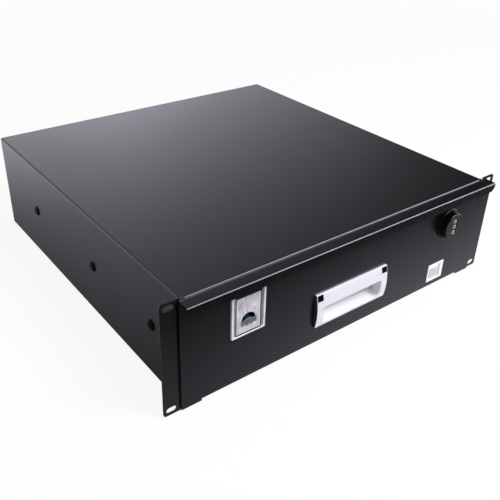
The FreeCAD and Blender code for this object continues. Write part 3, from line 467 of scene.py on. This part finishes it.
case_coat = powder_coat("satin_black_powder_coat", "#0d0d0f", "#0f0f11", roughness=0.31)
front_coat = powder_coat("satin_black_powder_coat_front", "#0b0a0d", "#0d0c0f", roughness=0.26)
print("coats", case_coat.name, front_coat.name)

# %% [markdown]
# ## Plated and polished steel
# The slides are rolled from zinc-plated strip: a bright, slightly bluish metal, with long drawing
# marks along the rail and a patchy spangle. The balls are polished chrome steel. These and the
# fixings are bare metal, so metallic is 1 and the colour is what they mirror. The latch is nickel
# plate, dulled by handling, and the step inside its rim is a darker nickel as painted shade. Its
# bolt is blued steel, kept dark as painted shade where it shows in the window, and the bolt's pad is
# a darker grey-blue as a painted dark reflection. A thin film on both scatters part of the light, so
# their metallic part is lower. A brushed metal is a noise stretched along the brushing, in its
# roughness and its bump.

# %% Plated metals
def brushed_metal(name, dark, light, roughness, mark_mm, depth_mm, stretch=(1, 1, 1), metallic=1.0):
    material, tree, shader, place = blank_finish(name)
    marks = noise(tree, place, mark_mm, 3.0, stretch)
    tone = patchy_colour(tree, noise(tree, place, 9), dark, light)
    gloss = spread(tree, marks, roughness - 0.06, roughness + 0.06)
    bump = add_node(tree, "ShaderNodeBump", {"Height": marks, "Distance": depth_mm * MM, "Strength": 0.5})
    tree.links.new(tone, shader.inputs["Base Color"])
    tree.links.new(gloss, shader.inputs["Roughness"])
    tree.links.new(bump.outputs["Normal"], shader.inputs["Normal"])
    shader.inputs["Metallic"].default_value = metallic
    return material


zinc_strip = brushed_metal("zinc_plated_strip", "#a9adb3", "#c3c7cc", roughness=0.34, mark_mm=0.6,
                           depth_mm=0.02, stretch=(1, 40, 1))
nickel_rim = brushed_metal("nickel_plated_rim", "#e2e0e6", "#f6f4f8", roughness=0.36, mark_mm=0.5,
                           depth_mm=0.01, stretch=(1, 1, 24), metallic=0.25)
# The step inside the latch's rim: a darker copy of the rim's nickel, as painted shade.
nickel_step = brushed_metal("nickel_step_painted_shade", "#8f8d94", "#a3a1a8", roughness=0.4, mark_mm=0.5,
                            depth_mm=0.02, stretch=(1, 1, 24), metallic=0.5)
# The bolt is blued steel; its dark tone is also painted shade where it shows through the window.
blued_bolt_and_shade = brushed_metal("blued_bolt_with_painted_window_shade", "#1f2839", "#333f54", roughness=0.22, mark_mm=0.8,
                            depth_mm=0.004, metallic=0.3)
# The pad is blued steel, darker grey-blue as a painted dark reflection.
blued_finger_pad_and_reflection = brushed_metal("blued_finger_pad_with_painted_dark_reflection", "#626974", "#848c96", roughness=0.3, mark_mm=0.9,
                          depth_mm=0.03, stretch=(4, 1, 1), metallic=0.6)
chrome_ball = brushed_metal("polished_chrome_steel", "#cfd1d4", "#dcdee0", roughness=0.12, mark_mm=0.3,
                            depth_mm=0.002)
zinc_fixing = brushed_metal("zinc_plated_fixing", "#b4b6b4", "#cfd0cc", roughness=0.3, mark_mm=0.4,
                            depth_mm=0.01)
cam_steel = brushed_metal("nickel_plated_cam", "#bdbcb8", "#d2d1cc", roughness=0.28, mark_mm=0.5,
                          depth_mm=0.01, stretch=(8, 1, 1))
print("metals", [m.name for m in (zinc_strip, nickel_rim, blued_bolt_and_shade, chrome_ball, zinc_fixing, cam_steel)])

# %% [markdown]
# ## Silver lacquer, black plastics and cream dials
# The pull is a die casting under a silver lacquer: a clear film with tiny flakes, which gives a
# pale satin sheen. Its end faces are dark grey, as painted shade. The caps over its screws are
# matt black nylon. The lock's knob is a black enamelled casting, glossy on its side and satin on
# its face, over a semi-gloss collar, and its dials are cream acetal with black printed numbers. All
# are one kind of film or plastic with a fine grain, so one function makes them. Its shine is how
# strongly the surface mirrors, where 0.5 is usual for a plastic and a matt or shaded one has less.

# %% Lacquer, plastics and enamel
def painted(name, dark, light, roughness, grain_mm, depth_mm, metallic=0.0, shine=0.5):
    material, tree, shader, place = blank_finish(name)
    grain = noise(tree, place, grain_mm, 3.0)
    gloss = spread(tree, noise(tree, place, 6), roughness - 0.03, roughness + 0.03)
    bump = add_node(tree, "ShaderNodeBump", {"Height": grain, "Distance": depth_mm * MM, "Strength": 0.4})
    tree.links.new(patchy_colour(tree, grain, dark, light), shader.inputs["Base Color"])
    tree.links.new(gloss, shader.inputs["Roughness"])
    tree.links.new(bump.outputs["Normal"], shader.inputs["Normal"])
    shader.inputs["Metallic"].default_value = metallic
    shader.inputs["Specular IOR Level"].default_value = shine
    return material


silver_lacquer = painted("silver_lacquer", "#dddde5", "#e8e8ef", 0.4, 0.5, 0.01, metallic=0.15)
# The pull's end faces are dark grey as painted shade.
shaded_pull_end = painted("pull_end_painted_shade", "#26262a", "#2e2e33", 0.45, 0.5, 0.01)
black_nylon = painted("matt_black_nylon", "#010101", "#020202", 0.7, 0.4, 0.02, shine=0.03)
gloss_enamel = painted("gloss_black_enamel", "#030304", "#050506", 0.22, 1.5, 0.004, shine=0.12)
collar_enamel = painted("semi_gloss_black_enamel", "#0a0a0b", "#0e0e0f", 0.28, 1.5, 0.004, shine=0.2)
satin_enamel = painted("satin_black_enamel", "#1a1a1c", "#202022", 0.34, 0.6, 0.01)
cream_acetal = painted("cream_acetal", "#9c8c79", "#b0a28f", 0.4, 0.8, 0.008)
black_oxide = painted("black_zinc_screw", "#040404", "#060606", 0.27, 0.5, 0.004, shine=0.03)
# Painted shade: black in the latch's groove and inside the bolt's box.
groove_painted_shade = painted("painted_shade_in_groove", "#0c0c0e", "#141416", 0.5, 0.4, 0.004)
digit_ink = painted("black_digit_ink", "#141210", "#1c1a18", 0.5, 0.3, 0.002)
print("paints", [m.name for m in (silver_lacquer, black_nylon, gloss_enamel, cream_acetal)])

# %% [markdown]
# ## Painted light and shade inside the recess
# Inside the pull's recess the lacquer carries painted light and shade: white at the foot, where
# light falls, and grey further up, as painted shade under the hood. A second casting colour with a
# hard edge would be wrong, so one colour fades into the other over six millimetres of height.

# %% Recess lacquer
# Painted light and shade in the recess: white up to one height, grey as painted shade from a higher one.
WHITE_UP_TO = -33
GREY_FROM = -27
recess_painted_light_shade = painted("silver_lacquer_painted_light_and_shade_in_recess", "#f4f4f8", "#fafafc", 0.6, 0.5, 0.01, shine=0.1)
tree = recess_painted_light_shade.node_tree
place = add_node(tree, "ShaderNodeTexCoord", {}).outputs["Object"]
height = along(tree, place, Z_AXIS, WHITE_UP_TO * MM, GREY_FROM * MM, 0.0, 1.0)
tones = {0: height, 6: colour("#ffffff"), 7: colour("#84848f")}
recess_shade_mix = add_node(tree, "ShaderNodeMix", tones, data_type="RGBA")
tree.links.new(recess_shade_mix.outputs[2], tree.nodes["Principled BSDF"].inputs["Base Color"])
print("recess", recess_painted_light_shade.name)

# %% [markdown]
# ## The latch plate
# The latch's cover is fixed, and fingers and keys rub along it on their way to the bolt. It is
# brushed up and down in streaks a millimetre or so wide, has one slanting scratch near its upper
# left, and a few bright white spots near its upper right. A scratch is a thin band across a sloping
# direction, kept to a short length, and the spots are noise inside a small square. Both are masks
# that mix in another tone, so the plate stays one piece.

# %% Worn latch plate
SCRATCH_AT = Vector((-9.5, 0, 13))
SCRATCH_ACROSS = Vector((0.87, 0, -0.49))
SCRATCH_ALONG = Vector((0.49, 0, 0.87))
BRIGHT_SPOTS_AT = Vector((7.5, 0, 9))


def window(tree, place, axis, at, half_mm, soft_mm):
    """One near a plane, and zero further than half_mm from it. The edge is soft_mm wide."""
    both = {0: place, 1: axis}
    reach = add_node(tree, "ShaderNodeVectorMath", both, operation="DOT_PRODUCT").outputs["Value"]
    away = add_node(tree, "ShaderNodeMath", {0: reach, 1: at.dot(axis)}, operation="SUBTRACT").outputs[0]
    away = add_node(tree, "ShaderNodeMath", {0: away}, operation="ABSOLUTE").outputs[0]
    low = half_mm * MM
    high = (half_mm + soft_mm) * MM
    sockets = {"Value": away, "From Min": low, "From Max": high, "To Min": 1.0, "To Max": 0.0}
    return add_node(tree, "ShaderNodeMapRange", sockets).outputs["Result"]


def marked_area(tree, place, centre, *windows):
    """One where all windows round a centre cross. Each is an axis, a half width and a soft edge."""
    area = 1.0
    for axis, half_mm, soft_mm in windows:
        both = {0: area, 1: window(tree, place, axis, centre, half_mm, soft_mm)}
        area = add_node(tree, "ShaderNodeMath", both, operation="MULTIPLY").outputs[0]
    return area


worn_nickel, tree, shader, place = blank_finish("scratched_brushed_nickel")
streaks = noise(tree, place, 1.3, 3.0, (1, 1, 14))
base = patchy_colour(tree, streaks, "#b9b6bd", "#f1eff4")
scratch = marked_area(tree, place, latch_axis + SCRATCH_AT * MM,
                      (SCRATCH_ACROSS, 0.12, 0.3), (SCRATCH_ALONG, 4.5, 1.5))
tones = {0: scratch, 6: base, 7: colour("#4c4a50")}
base = add_node(tree, "ShaderNodeMix", tones, data_type="RGBA").outputs[2]
# A few bright white spots in a small square near the plate's upper right.
bright_spot_area = marked_area(tree, place, latch_axis + BRIGHT_SPOTS_AT * MM, (X_AXIS, 3.0, 1.0), (Z_AXIS, 3.0, 1.0))
spots = {0: bright_spot_area, 1: spread(tree, noise(tree, place, 1.1, 4.0), -1.6, 2.2)}
spots = add_node(tree, "ShaderNodeMath", spots, operation="MULTIPLY").outputs[0]
clamped = add_node(tree, "ShaderNodeClamp", {"Value": spots}).outputs[0]
tones = {0: clamped, 6: base, 7: colour("#ffffff")}
base = add_node(tree, "ShaderNodeMix", tones, data_type="RGBA").outputs[2]
bump = add_node(tree, "ShaderNodeBump", {"Height": streaks, "Distance": 0.03 * MM, "Strength": 0.5})
tree.links.new(base, shader.inputs["Base Color"])
tree.links.new(spread(tree, streaks, 0.34, 0.5), shader.inputs["Roughness"])
tree.links.new(bump.outputs["Normal"], shader.inputs["Normal"])
shader.inputs["Metallic"].default_value = 0.35
print("plate", worn_nickel.name)

# %% [markdown]
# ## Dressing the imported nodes
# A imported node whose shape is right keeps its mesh. Only the material in its slots changes, so a
# table of node and finish is all that this step needs.

# %% Dress the nodes
finish_of = {
    "case_shell": case_coat, "floor_panel": case_coat, "floor_rivets": case_coat, "rear_panel": case_coat,
    "drawer_tray": case_coat, "drawer_front": front_coat, "case_screws_left": black_oxide,
    "case_screws_right": black_oxide, "handle_shell": silver_lacquer, "handle_caps": black_nylon,
    "handle_screws": zinc_fixing, "handle_nuts": zinc_fixing, "tray_screws_left": zinc_fixing,
    "tray_screws_right": zinc_fixing, "latch_housing": nickel_rim, "latch_cover": worn_nickel,
    "latch_bolt": blued_bolt_and_shade, "lock_collar": collar_enamel, "lock_barrel": cam_steel, "lock_nut": cam_steel,
    "lock_knob": gloss_enamel, "lock_spindle": cam_steel, "dial_axle": cam_steel, "lock_cam": cam_steel,
    "cam_screw": zinc_fixing, "dial_top": cream_acetal, "dial_middle": cream_acetal,
    "dial_bottom": cream_acetal,
}
for name in frame["nodes"]:
    if name.startswith(("slide_", "cage_")):
        finish_of[name] = zinc_strip
    if name.startswith("balls_"):
        finish_of[name] = chrome_ball
for name, finish in finish_of.items():
    for slot in frame["nodes"][name].material_slots:
        slot.material = finish
print("dressed", len(finish_of), "of", len(frame["nodes"]), "nodes")

# %% [markdown]
# ## Softened edges
# No real edge is perfectly sharp. Powder coat pulls back from a cut edge and rounds it, a casting
# has its radius, and a stamped plate is tumbled. Those thin rounded edges catch the light and draw
# the shape. A bevel shader would show it in a render only, so the edges are bevelled for real, in a
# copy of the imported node. Its loose triangles are joined first, and flat faces made whole, or the
# bevel would find edges where there are none.

# %% Copy and soften a node
JOIN_WITHIN = 0.002
FLAT_BELOW = math.radians(0.4)
SHARP_ABOVE = math.radians(32)


def copy_of(node_name):
    bm = bmesh.new()
    bm.from_mesh(frame["nodes"][node_name].data)
    bmesh.ops.remove_doubles(bm, verts=bm.verts, dist=JOIN_WITHIN * MM)
    bmesh.ops.dissolve_limit(bm, angle_limit=FLAT_BELOW, verts=bm.verts, edges=bm.edges)
    return bm


def sharp_edges(bm):
    return [edge for edge in bm.edges if edge.is_manifold and edge.calc_face_angle() > SHARP_ABOVE]


def soften(bm, width_mm):
    bmesh.ops.bevel(bm, geom=sharp_edges(bm), affect="EDGES", offset=width_mm * MM, segments=2,
                    profile=0.5, material=-1, clamp_overlap=True)


print("sharp edges of the front", len(sharp_edges(copy_of("drawer_front"))))

# %% [markdown]
# ## Finished pieces
# A bmesh becomes a piece when it has a mesh, finishes and a body to ride on. Flat faces should look
# flat and rounded edges smooth, so all faces are shaded smooth, real corners stay sharp, and the
# large faces lead the shading. A piece made from a copy then stands for its node, which is hidden.

# %% Make a piece
def new_piece(bm, name, body, *finishes):
    """Makes the bmesh a smooth-shaded piece that rides on a body."""
    mesh = bpy.data.meshes.new(name)
    for face in bm.faces:
        face.smooth = True
    bm.to_mesh(mesh)
    bm.free()
    mesh.set_sharp_from_angle(angle=math.radians(50))
    for finish in finishes:
        mesh.materials.append(finish)
    piece = bpy.data.objects.new(name, mesh)
    bpy.context.collection.objects.link(piece)
    weighted = piece.modifiers.new("weighted normals", "WEIGHTED_NORMAL")
    weighted.keep_sharp = True
    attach(piece, body)
    return piece


def stand_in(bm, name, stands_for, *finishes):
    """A piece that rides where its node rides, and hides the node."""
    piece = new_piece(bm, name, frame["nodes"][stands_for]["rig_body"], *finishes)
    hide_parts(stands_for)
    return piece


# %% [markdown]
# ## Grips
# The pad of the latch's bolt has three shallow scallops for a fingertip, and the lock's knob is
# fluted round its side. Bump could hint at both, but a grip shows in the outline, so it is cut.
# Round bars are laid where the hollows are, and a Boolean takes them out of the copy.

# %% Cut the grips
SCALLOP_DROP = 13.2
SCALLOP_STEP = 5.6
SCALLOP_RADIUS = 2.4
FLUTES = 24
FLUTE_RADIUS = 1.2
FLUTE_OUT = 0.7
FLUTE_START = 0.8
cover_low, cover_high = corners("latch_cover")


def cut_out(bm, cutter):
    """The bmesh with the cutter's shape taken out of it by a Boolean modifier."""
    holders = []
    for name, source in (("blank", bm), ("cutter", cutter)):
        mesh = bpy.data.meshes.new(name)
        source.to_mesh(mesh)
        source.free()
        holders.append(bpy.data.objects.new(name, mesh))
        bpy.context.collection.objects.link(holders[-1])
    boolean = holders[0].modifiers.new("cut", "BOOLEAN")
    boolean.object = holders[1]
    boolean.operation = "DIFFERENCE"
    boolean.solver = "EXACT"
    boolean.use_self = True
    ready = bpy.context.evaluated_depsgraph_get()
    result = bmesh.new()
    result.from_mesh(bpy.data.meshes.new_from_object(holders[0].evaluated_get(ready)))
    for holder in holders:
        bpy.data.objects.remove(holder)
    return result


def bars_along_y(centres, radius, y_low, y_high):
    """Round bars from front to back, to cut grip hollows with."""
    cutter = bmesh.new()
    for centre in centres:
        place = Vector((centre.x, (y_low + y_high) / 2, centre.z))
        turned = Matrix.Translation(place) @ Matrix.Rotation(math.radians(90), 4, "X")
        bmesh.ops.create_cone(cutter, cap_ends=True, segments=24, radius1=radius, radius2=radius,
                              depth=y_high - y_low, matrix=turned)
    return cutter


def pad_scallops():
    pad_foot = latch_axis + Vector((0, 0, -SCALLOP_DROP)) * MM
    centres = [pad_foot + Vector((step * SCALLOP_STEP, 0, 0)) * MM for step in (-1, 0, 1)]
    return bars_along_y(centres, SCALLOP_RADIUS * MM, cover_low.y - 3 * MM, cover_low.y - 0.1 * MM)


def knob_flutes():
    low, high = corners("lock_knob")
    ring = (high.x - low.x) / 2 + FLUTE_OUT * MM
    angles = [2 * math.pi * (step + 0.5) / FLUTES for step in range(FLUTES)]
    centres = [lock_axis + Vector((math.cos(angle), 0, math.sin(angle))) * ring for angle in angles]
    return bars_along_y(centres, FLUTE_RADIUS * MM, low.y + FLUTE_START * MM, high.y + 1 * MM)


GRIPS = {"latch_bolt": pad_scallops, "lock_knob": knob_flutes}
print("grips", sorted(GRIPS), FLUTES, "flutes")

# %% [markdown]
# ## Second finishes
# Some parts show more than one finish: the latch's housing is bright on its rim, darker on the step
# inside it and black in its groove, both as painted shade, and the knob is satin on its face only.
# The pull carries painted light and shade in its recess and painted shade on its ends, and the
# bolt's pad a painted dark reflection. They could be separate pieces, but each is one part. So a
# small function per finish says which faces it belongs on, from a face's middle and the way it looks.

# %% Second finishes
RECESS_SKIN = 1.2
RECESS_HALF = 44.4
RECESS_FOOT = -35.8
RECESS_TOP = -4.1
SILL_FOOT = -37
SILL_TOP = -30
COVER_GAP = 1.0
HAIR = 0.1 * MM
handle_half = corners("handle_shell")[1].x
knob_front = corners("lock_knob")[0].y


def housing_groove(at, normal):
    """The floor of the bay round the cover, the bay's walls, and the inside of the bolt's box, black as
    painted shade.
    """
    in_bay = abs(at.x - latch_axis.x) < (cover_high.x - cover_low.x) / 2 + COVER_GAP * MM
    return in_bay and at.y > front_face + HAIR


# The step inside the rim, which is darker as painted shade.
def housing_step(at, normal):
    return normal.y < -0.9 and front_face + HAIR < at.y < cover_high.y - HAIR


# The cover's side and foot faces, black as painted shade in the groove.
def cover_side(at, normal):
    return abs(normal.x) > 0.9 or normal.z < -0.9


# The bolt's pad, which carries the painted dark reflection.
def bolt_pad(at, normal):
    return at.y < cover_low.y


def knob_face(at, normal):
    return at.y < knob_front + HAIR


# The pull's end faces, which carry the painted shade.
def cast_end(at, normal):
    return abs(at.x) > handle_half - HAIR


# Faces in the pull's recess, which carry the painted light and shade.
def in_recess(at, normal):
    inside = at.y > front_face + RECESS_SKIN * MM and RECESS_FOOT * MM < at.z < RECESS_TOP * MM
    on_sill = normal.z > 0.4 and SILL_FOOT * MM < at.z < SILL_TOP * MM
    return abs(at.x) < RECESS_HALF * MM and (inside or on_sill)


OTHER_FINISHES = {
    "handle_shell": [(recess_painted_light_shade, in_recess), (shaded_pull_end, cast_end)],
    "lock_knob": [(satin_enamel, knob_face)],
    "latch_housing": [(nickel_step, housing_step), (groove_painted_shade, housing_groove)],
    "latch_cover": [(groove_painted_shade, cover_side)],
    "latch_bolt": [(blued_finger_pad_and_reflection, bolt_pad)],
}
print("second finishes on", sorted(OTHER_FINISHES))

# %% [markdown]
# ## Softened pieces
# Now each part whose edges show gets its softened copy. Sheet steel has about a third of a
# millimetre, and small stamped and moulded parts a little less. Where two functions claim a face,
# the later one has it.

# %% Soften the nodes
EDGE_WIDTHS = {
    "case_shell": 0.3, "drawer_front": 0.3, "drawer_tray": 0.25, "floor_panel": 0.25, "rear_panel": 0.3,
    "handle_shell": 0.25, "handle_caps": 0.2, "latch_housing": 0.2, "latch_cover": 0.2, "latch_bolt": 0.3,
    "lock_collar": 0.2, "lock_knob": 0.2, "lock_cam": 0.2,
}
for node_name, width in EDGE_WIDTHS.items():
    copy = copy_of(node_name)
    if node_name in GRIPS:
        copy = cut_out(copy, GRIPS[node_name]())
    count = len(sharp_edges(copy))
    soften(copy, width)
    copy.normal_update()
    finishes = [finish_of[node_name]]
    for finish, belongs in OTHER_FINISHES.get(node_name, []):
        for flat in copy.faces:
            if belongs(flat.calc_center_median(), flat.normal):
                flat.material_index = len(finishes)
        finishes.append(finish)
    piece = stand_in(copy, node_name + "_softened", node_name, *finishes)
    print(piece.name, count, "edges", len(piece.data.polygons), "faces")

# %% [markdown]
# ## Welded corners
# Where the roof, a side wall and the hood meet, the sheet has a small relief, so that the three
# folds don't tear. On a finished case each notch is closed with a bead of weld, ground nearly flush
# and coated over. Two blocks draw it: one in the notch of the roof, its top a hair lower than the
# sheet's, and a thin one in the notch of the wall below.

# %% Corner welds
RELIEF = 3.5
WELD_FRONT = 0.9
WELD_BITE = 0.2
WELD_DROP = 2.2
SIDE_GROUND = 0.1
ROOF_GROUND = 0.06
WELD_SPLIT = 0.02
inner_corner = corners("rear_panel")[1]
wall = inner_corner.x / MM
roof = inner_corner.z / MM
side_face = wall + SHEET - SIDE_GROUND
weld_back = RELIEF + WELD_BITE
welds = bmesh.new()


def weld_block(low, high):
    """A softened block between two corners, mirrored to the other side too."""
    for side in (-1, 1):
        block = bmesh.ops.create_cube(welds, size=1.0)["verts"]
        bmesh.ops.scale(welds, vec=(high - low) * MM, verts=block)
        centre = (low + high) / 2 * MM
        bmesh.ops.translate(welds, vec=(side * centre.x, centre.y, centre.z), verts=block)


low = Vector((wall - weld_back, WELD_FRONT, roof))
weld_block(low, Vector((side_face, weld_back, roof + SHEET - ROOF_GROUND)))
low = Vector((wall, WELD_FRONT, roof - WELD_DROP))
weld_block(low, Vector((side_face, weld_back, roof - WELD_SPLIT)))
soften(welds, 0.3)
piece = new_piece(welds, "corner_welds", "case", case_coat)
print(piece.name, len(piece.data.polygons), "faces")

# %% [markdown]
# ## Screws of the case
# Three black truss-head screws hold each slide to the case. A cross recess is punched in the
# middle of the head. Two tapered bars, cut out of a copy of the head, leave just that recess. The
# rim of the head is rounded over first, which gives the truss head its low dome.

# %% Cross recess
CROSS_LENGTH = 4.4
CROSS_WIDTH = 1.0
CROSS_DEPTH = 1.5
CROSS_TAPER = 0.6
CROSS_TURNS = (20, 110)
HEAD_EDGE = 1.8
HEAD_ROUND = 0.7


def cross_at(cutter, place, outwards):
    """Adds two crossed bars to the cutter at a screw's head. They are narrower towards the shank."""
    facing = Vector((0, 0, 1)).rotation_difference(outwards).to_matrix().to_4x4()
    for turned in CROSS_TURNS:
        made = bmesh.ops.create_cube(cutter, size=1.0)["verts"]
        bmesh.ops.scale(cutter, vec=Vector((CROSS_LENGTH, CROSS_WIDTH, 2 * CROSS_DEPTH)) * MM, verts=made)
        foot = [v for v in made if v.co.z < 0]
        bmesh.ops.scale(cutter, vec=(CROSS_TAPER, CROSS_TAPER, 1), verts=foot)
        spun = Matrix.Rotation(math.radians(turned), 4, "Z")
        bmesh.ops.transform(cutter, matrix=Matrix.Translation(place) @ facing @ spun, verts=made)


def middles(bm):
    """The middle of each separate solid in the bmesh."""
    left = set(bm.verts)
    found = []
    while left:
        wave = [left.pop()]
        solid = []
        while wave:
            vert = wave.pop()
            solid.append(vert.co.copy())
            near = {edge.other_vert(vert) for edge in vert.link_edges} & left
            left -= near
            wave.extend(near)
        found.append(sum(solid, Vector()) / len(solid))
    return found


for node_name, outwards in (("case_screws_left", -X_AXIS), ("case_screws_right", X_AXIS)):
    heads = copy_of(node_name)
    outside = max(v.co.dot(outwards) for v in heads.verts)
    places = [centre + outwards * (outside - centre.dot(outwards)) for centre in middles(heads)]
    neck = outside - HEAD_EDGE * MM
    rims = [e for e in sharp_edges(heads) if all(v.co.dot(outwards) > neck for v in e.verts)]
    bmesh.ops.bevel(heads, geom=rims, affect="EDGES", offset=HEAD_ROUND * MM, segments=3, profile=0.5,
                    material=-1, clamp_overlap=True)
    cutter = bmesh.new()
    for place in places:
        cross_at(cutter, place, outwards)
    piece = stand_in(cut_out(heads, cutter), node_name + "_crossed", node_name, black_oxide)
    print(piece.name, len(places), "screws", len(piece.data.polygons), "faces")

# %% [markdown]
# ## Number dials
# Each dial is a small wheel with ten numbers pad-printed round it. The wheel is a softened copy of
# its node. A number starts as a text curve, is made a flat mesh, is cut into narrow upright strips
# so that it can bend, and is then wrapped round the wheel, a hair proud of it.

# %% Dials
PRINT_PROUD = 0.03
DIGIT_SIZE = 3.6
DIGIT_STRIP = 0.3
DIGITS = 10


def flat_digit(digit):
    """A digit as a flat bmesh about the origin, cut into strips."""
    curve = bpy.data.curves.new(f"digit_{digit}", "FONT")
    curve.body = str(digit)
    curve.size = DIGIT_SIZE * MM
    curve.align_x = "CENTER"
    curve.align_y = "CENTER"
    holder = bpy.data.objects.new(curve.name, curve)
    bpy.context.collection.objects.link(holder)
    ready = bpy.context.evaluated_depsgraph_get()
    bm = bmesh.new()
    bm.from_mesh(bpy.data.meshes.new_from_object(holder.evaluated_get(ready)))
    bpy.data.objects.remove(holder)
    for step in range(-4, 5):
        bmesh.ops.bisect_plane(bm, geom=bm.verts[:] + bm.edges[:] + bm.faces[:],
                               plane_co=(step * DIGIT_STRIP * MM, 0, 0), plane_no=(1, 0, 0))
    return bm


def printed_dial(node_name):
    """The numbers of a dial, on a softened copy of the dial."""
    low, high = corners(node_name)
    centre = (low + high) / 2
    radius = (high.x - low.x) / 2 + PRINT_PROUD * MM
    mesh = bpy.data.meshes.new(node_name + "_numbers")
    every = bmesh.new()
    for digit in range(DIGITS):
        one = flat_digit(digit)
        for vert in one.verts:
            angle = vert.co.x / radius + math.radians(360 / DIGITS * digit)
            vert.co = centre + Vector((math.sin(angle) * radius, -math.cos(angle) * radius, vert.co.y))
        one.to_mesh(mesh)
        one.free()
        every.from_mesh(mesh)
    every.to_mesh(mesh)
    every.free()
    mesh.materials.append(digit_ink)
    numbers = bpy.data.objects.new(mesh.name, mesh)
    bpy.context.collection.objects.link(numbers)
    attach(numbers, frame["nodes"][node_name]["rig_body"])
    wheel = copy_of(node_name)
    soften(wheel, 0.3)
    stand_in(wheel, node_name + "_softened", node_name, cream_acetal)
    return numbers


for node_name in ("dial_top", "dial_middle", "dial_bottom"):
    numbers = printed_dial(node_name)
    print(numbers.name, len(numbers.data.polygons), "faces")

# %% [markdown]
# ## Paper sticker
# A white paper sticker with plain grey bars is stuck low on the right of the front. It is a thin
# sheet of its own, a tenth of a millimetre thick, with rounded corners, and the bars are printed
# on it as a second, thinner layer.

# %% Sticker
STICKER_LOW = Vector((138.0, 0, -56.3)) * MM
STICKER_HIGH = Vector((166.7, 0, -31.3)) * MM
STICKER_THICK = 0.1 * MM
STICKER_CORNER = 0.8 * MM
INK_THICK = 0.02 * MM
HANDLE_PROUD = 5.45
BARS = [1.0, 0.5, 0.7, 0.5, 1.1, 0.5, 0.5, 0.8, 0.5, 1.0, 0.5, 0.6]
BAR_GAP = 0.55
BAR_MARGIN = Vector((2.4, 0, 5.0)) * MM
BAR_TOP_MARGIN = 6.5 * MM
LONG_BARS = (1.2, 4.4)
LONG_BAR_WIDTH = 1.8
LONG_BAR_FOOT = 4 * MM
LONG_BAR_TOP = 3 * MM


def thin_plate(bm, low, high, back, thickness, corner=0.0):
    """A flat plate on the front, from its lower left to its upper right corner."""
    made = bmesh.ops.create_cube(bm, size=1.0)["verts"]
    size = Vector((high.x - low.x, thickness, high.z - low.z))
    centre = Vector(((low.x + high.x) / 2, back - thickness / 2, (low.z + high.z) / 2))
    bmesh.ops.scale(bm, vec=size, verts=made)
    bmesh.ops.translate(bm, vec=centre, verts=made)
    if corner:
        edges = {e for v in made for e in v.link_edges}
        upright = [e for e in edges if abs(e.verts[0].co.y - e.verts[1].co.y) > thickness / 2]
        bmesh.ops.bevel(bm, geom=upright, affect="EDGES", offset=corner, segments=4, profile=0.5,
                        material=-1)


panel_face = corners("handle_shell")[0].y + HANDLE_PROUD * MM
paper_face = panel_face - STICKER_THICK
paper_sheet = bmesh.new()
thin_plate(paper_sheet, STICKER_LOW, STICKER_HIGH, panel_face, STICKER_THICK, STICKER_CORNER)
bars = bmesh.new()
x = STICKER_LOW.x + BAR_MARGIN.x
for width in BARS:
    low = Vector((x, 0, STICKER_LOW.z + BAR_MARGIN.z))
    high = Vector((x + width * MM, 0, STICKER_HIGH.z - BAR_TOP_MARGIN))
    thin_plate(bars, low, high, paper_face, INK_THICK)
    x += (width + BAR_GAP) * MM
for step in LONG_BARS:
    low = Vector((x + step * MM, 0, STICKER_LOW.z + LONG_BAR_FOOT))
    high = Vector((low.x + LONG_BAR_WIDTH * MM, 0, STICKER_HIGH.z - LONG_BAR_TOP))
    thin_plate(bars, low, high, paper_face, INK_THICK)
sticker_paper = painted("white_sticker_paper", "#e4e2e6", "#efedf1", 0.6, 0.4, 0.004)
sticker_ink = painted("grey_sticker_ink", "#8c8a90", "#98969c", 0.6, 0.4, 0.002)
for name, bm, finish in (("paper_sticker", paper_sheet, sticker_paper), ("sticker_bars", bars, sticker_ink)):
    sticker = new_piece(bm, name, "drawer", finish)
    print(name, len(sticker.data.polygons), "faces")
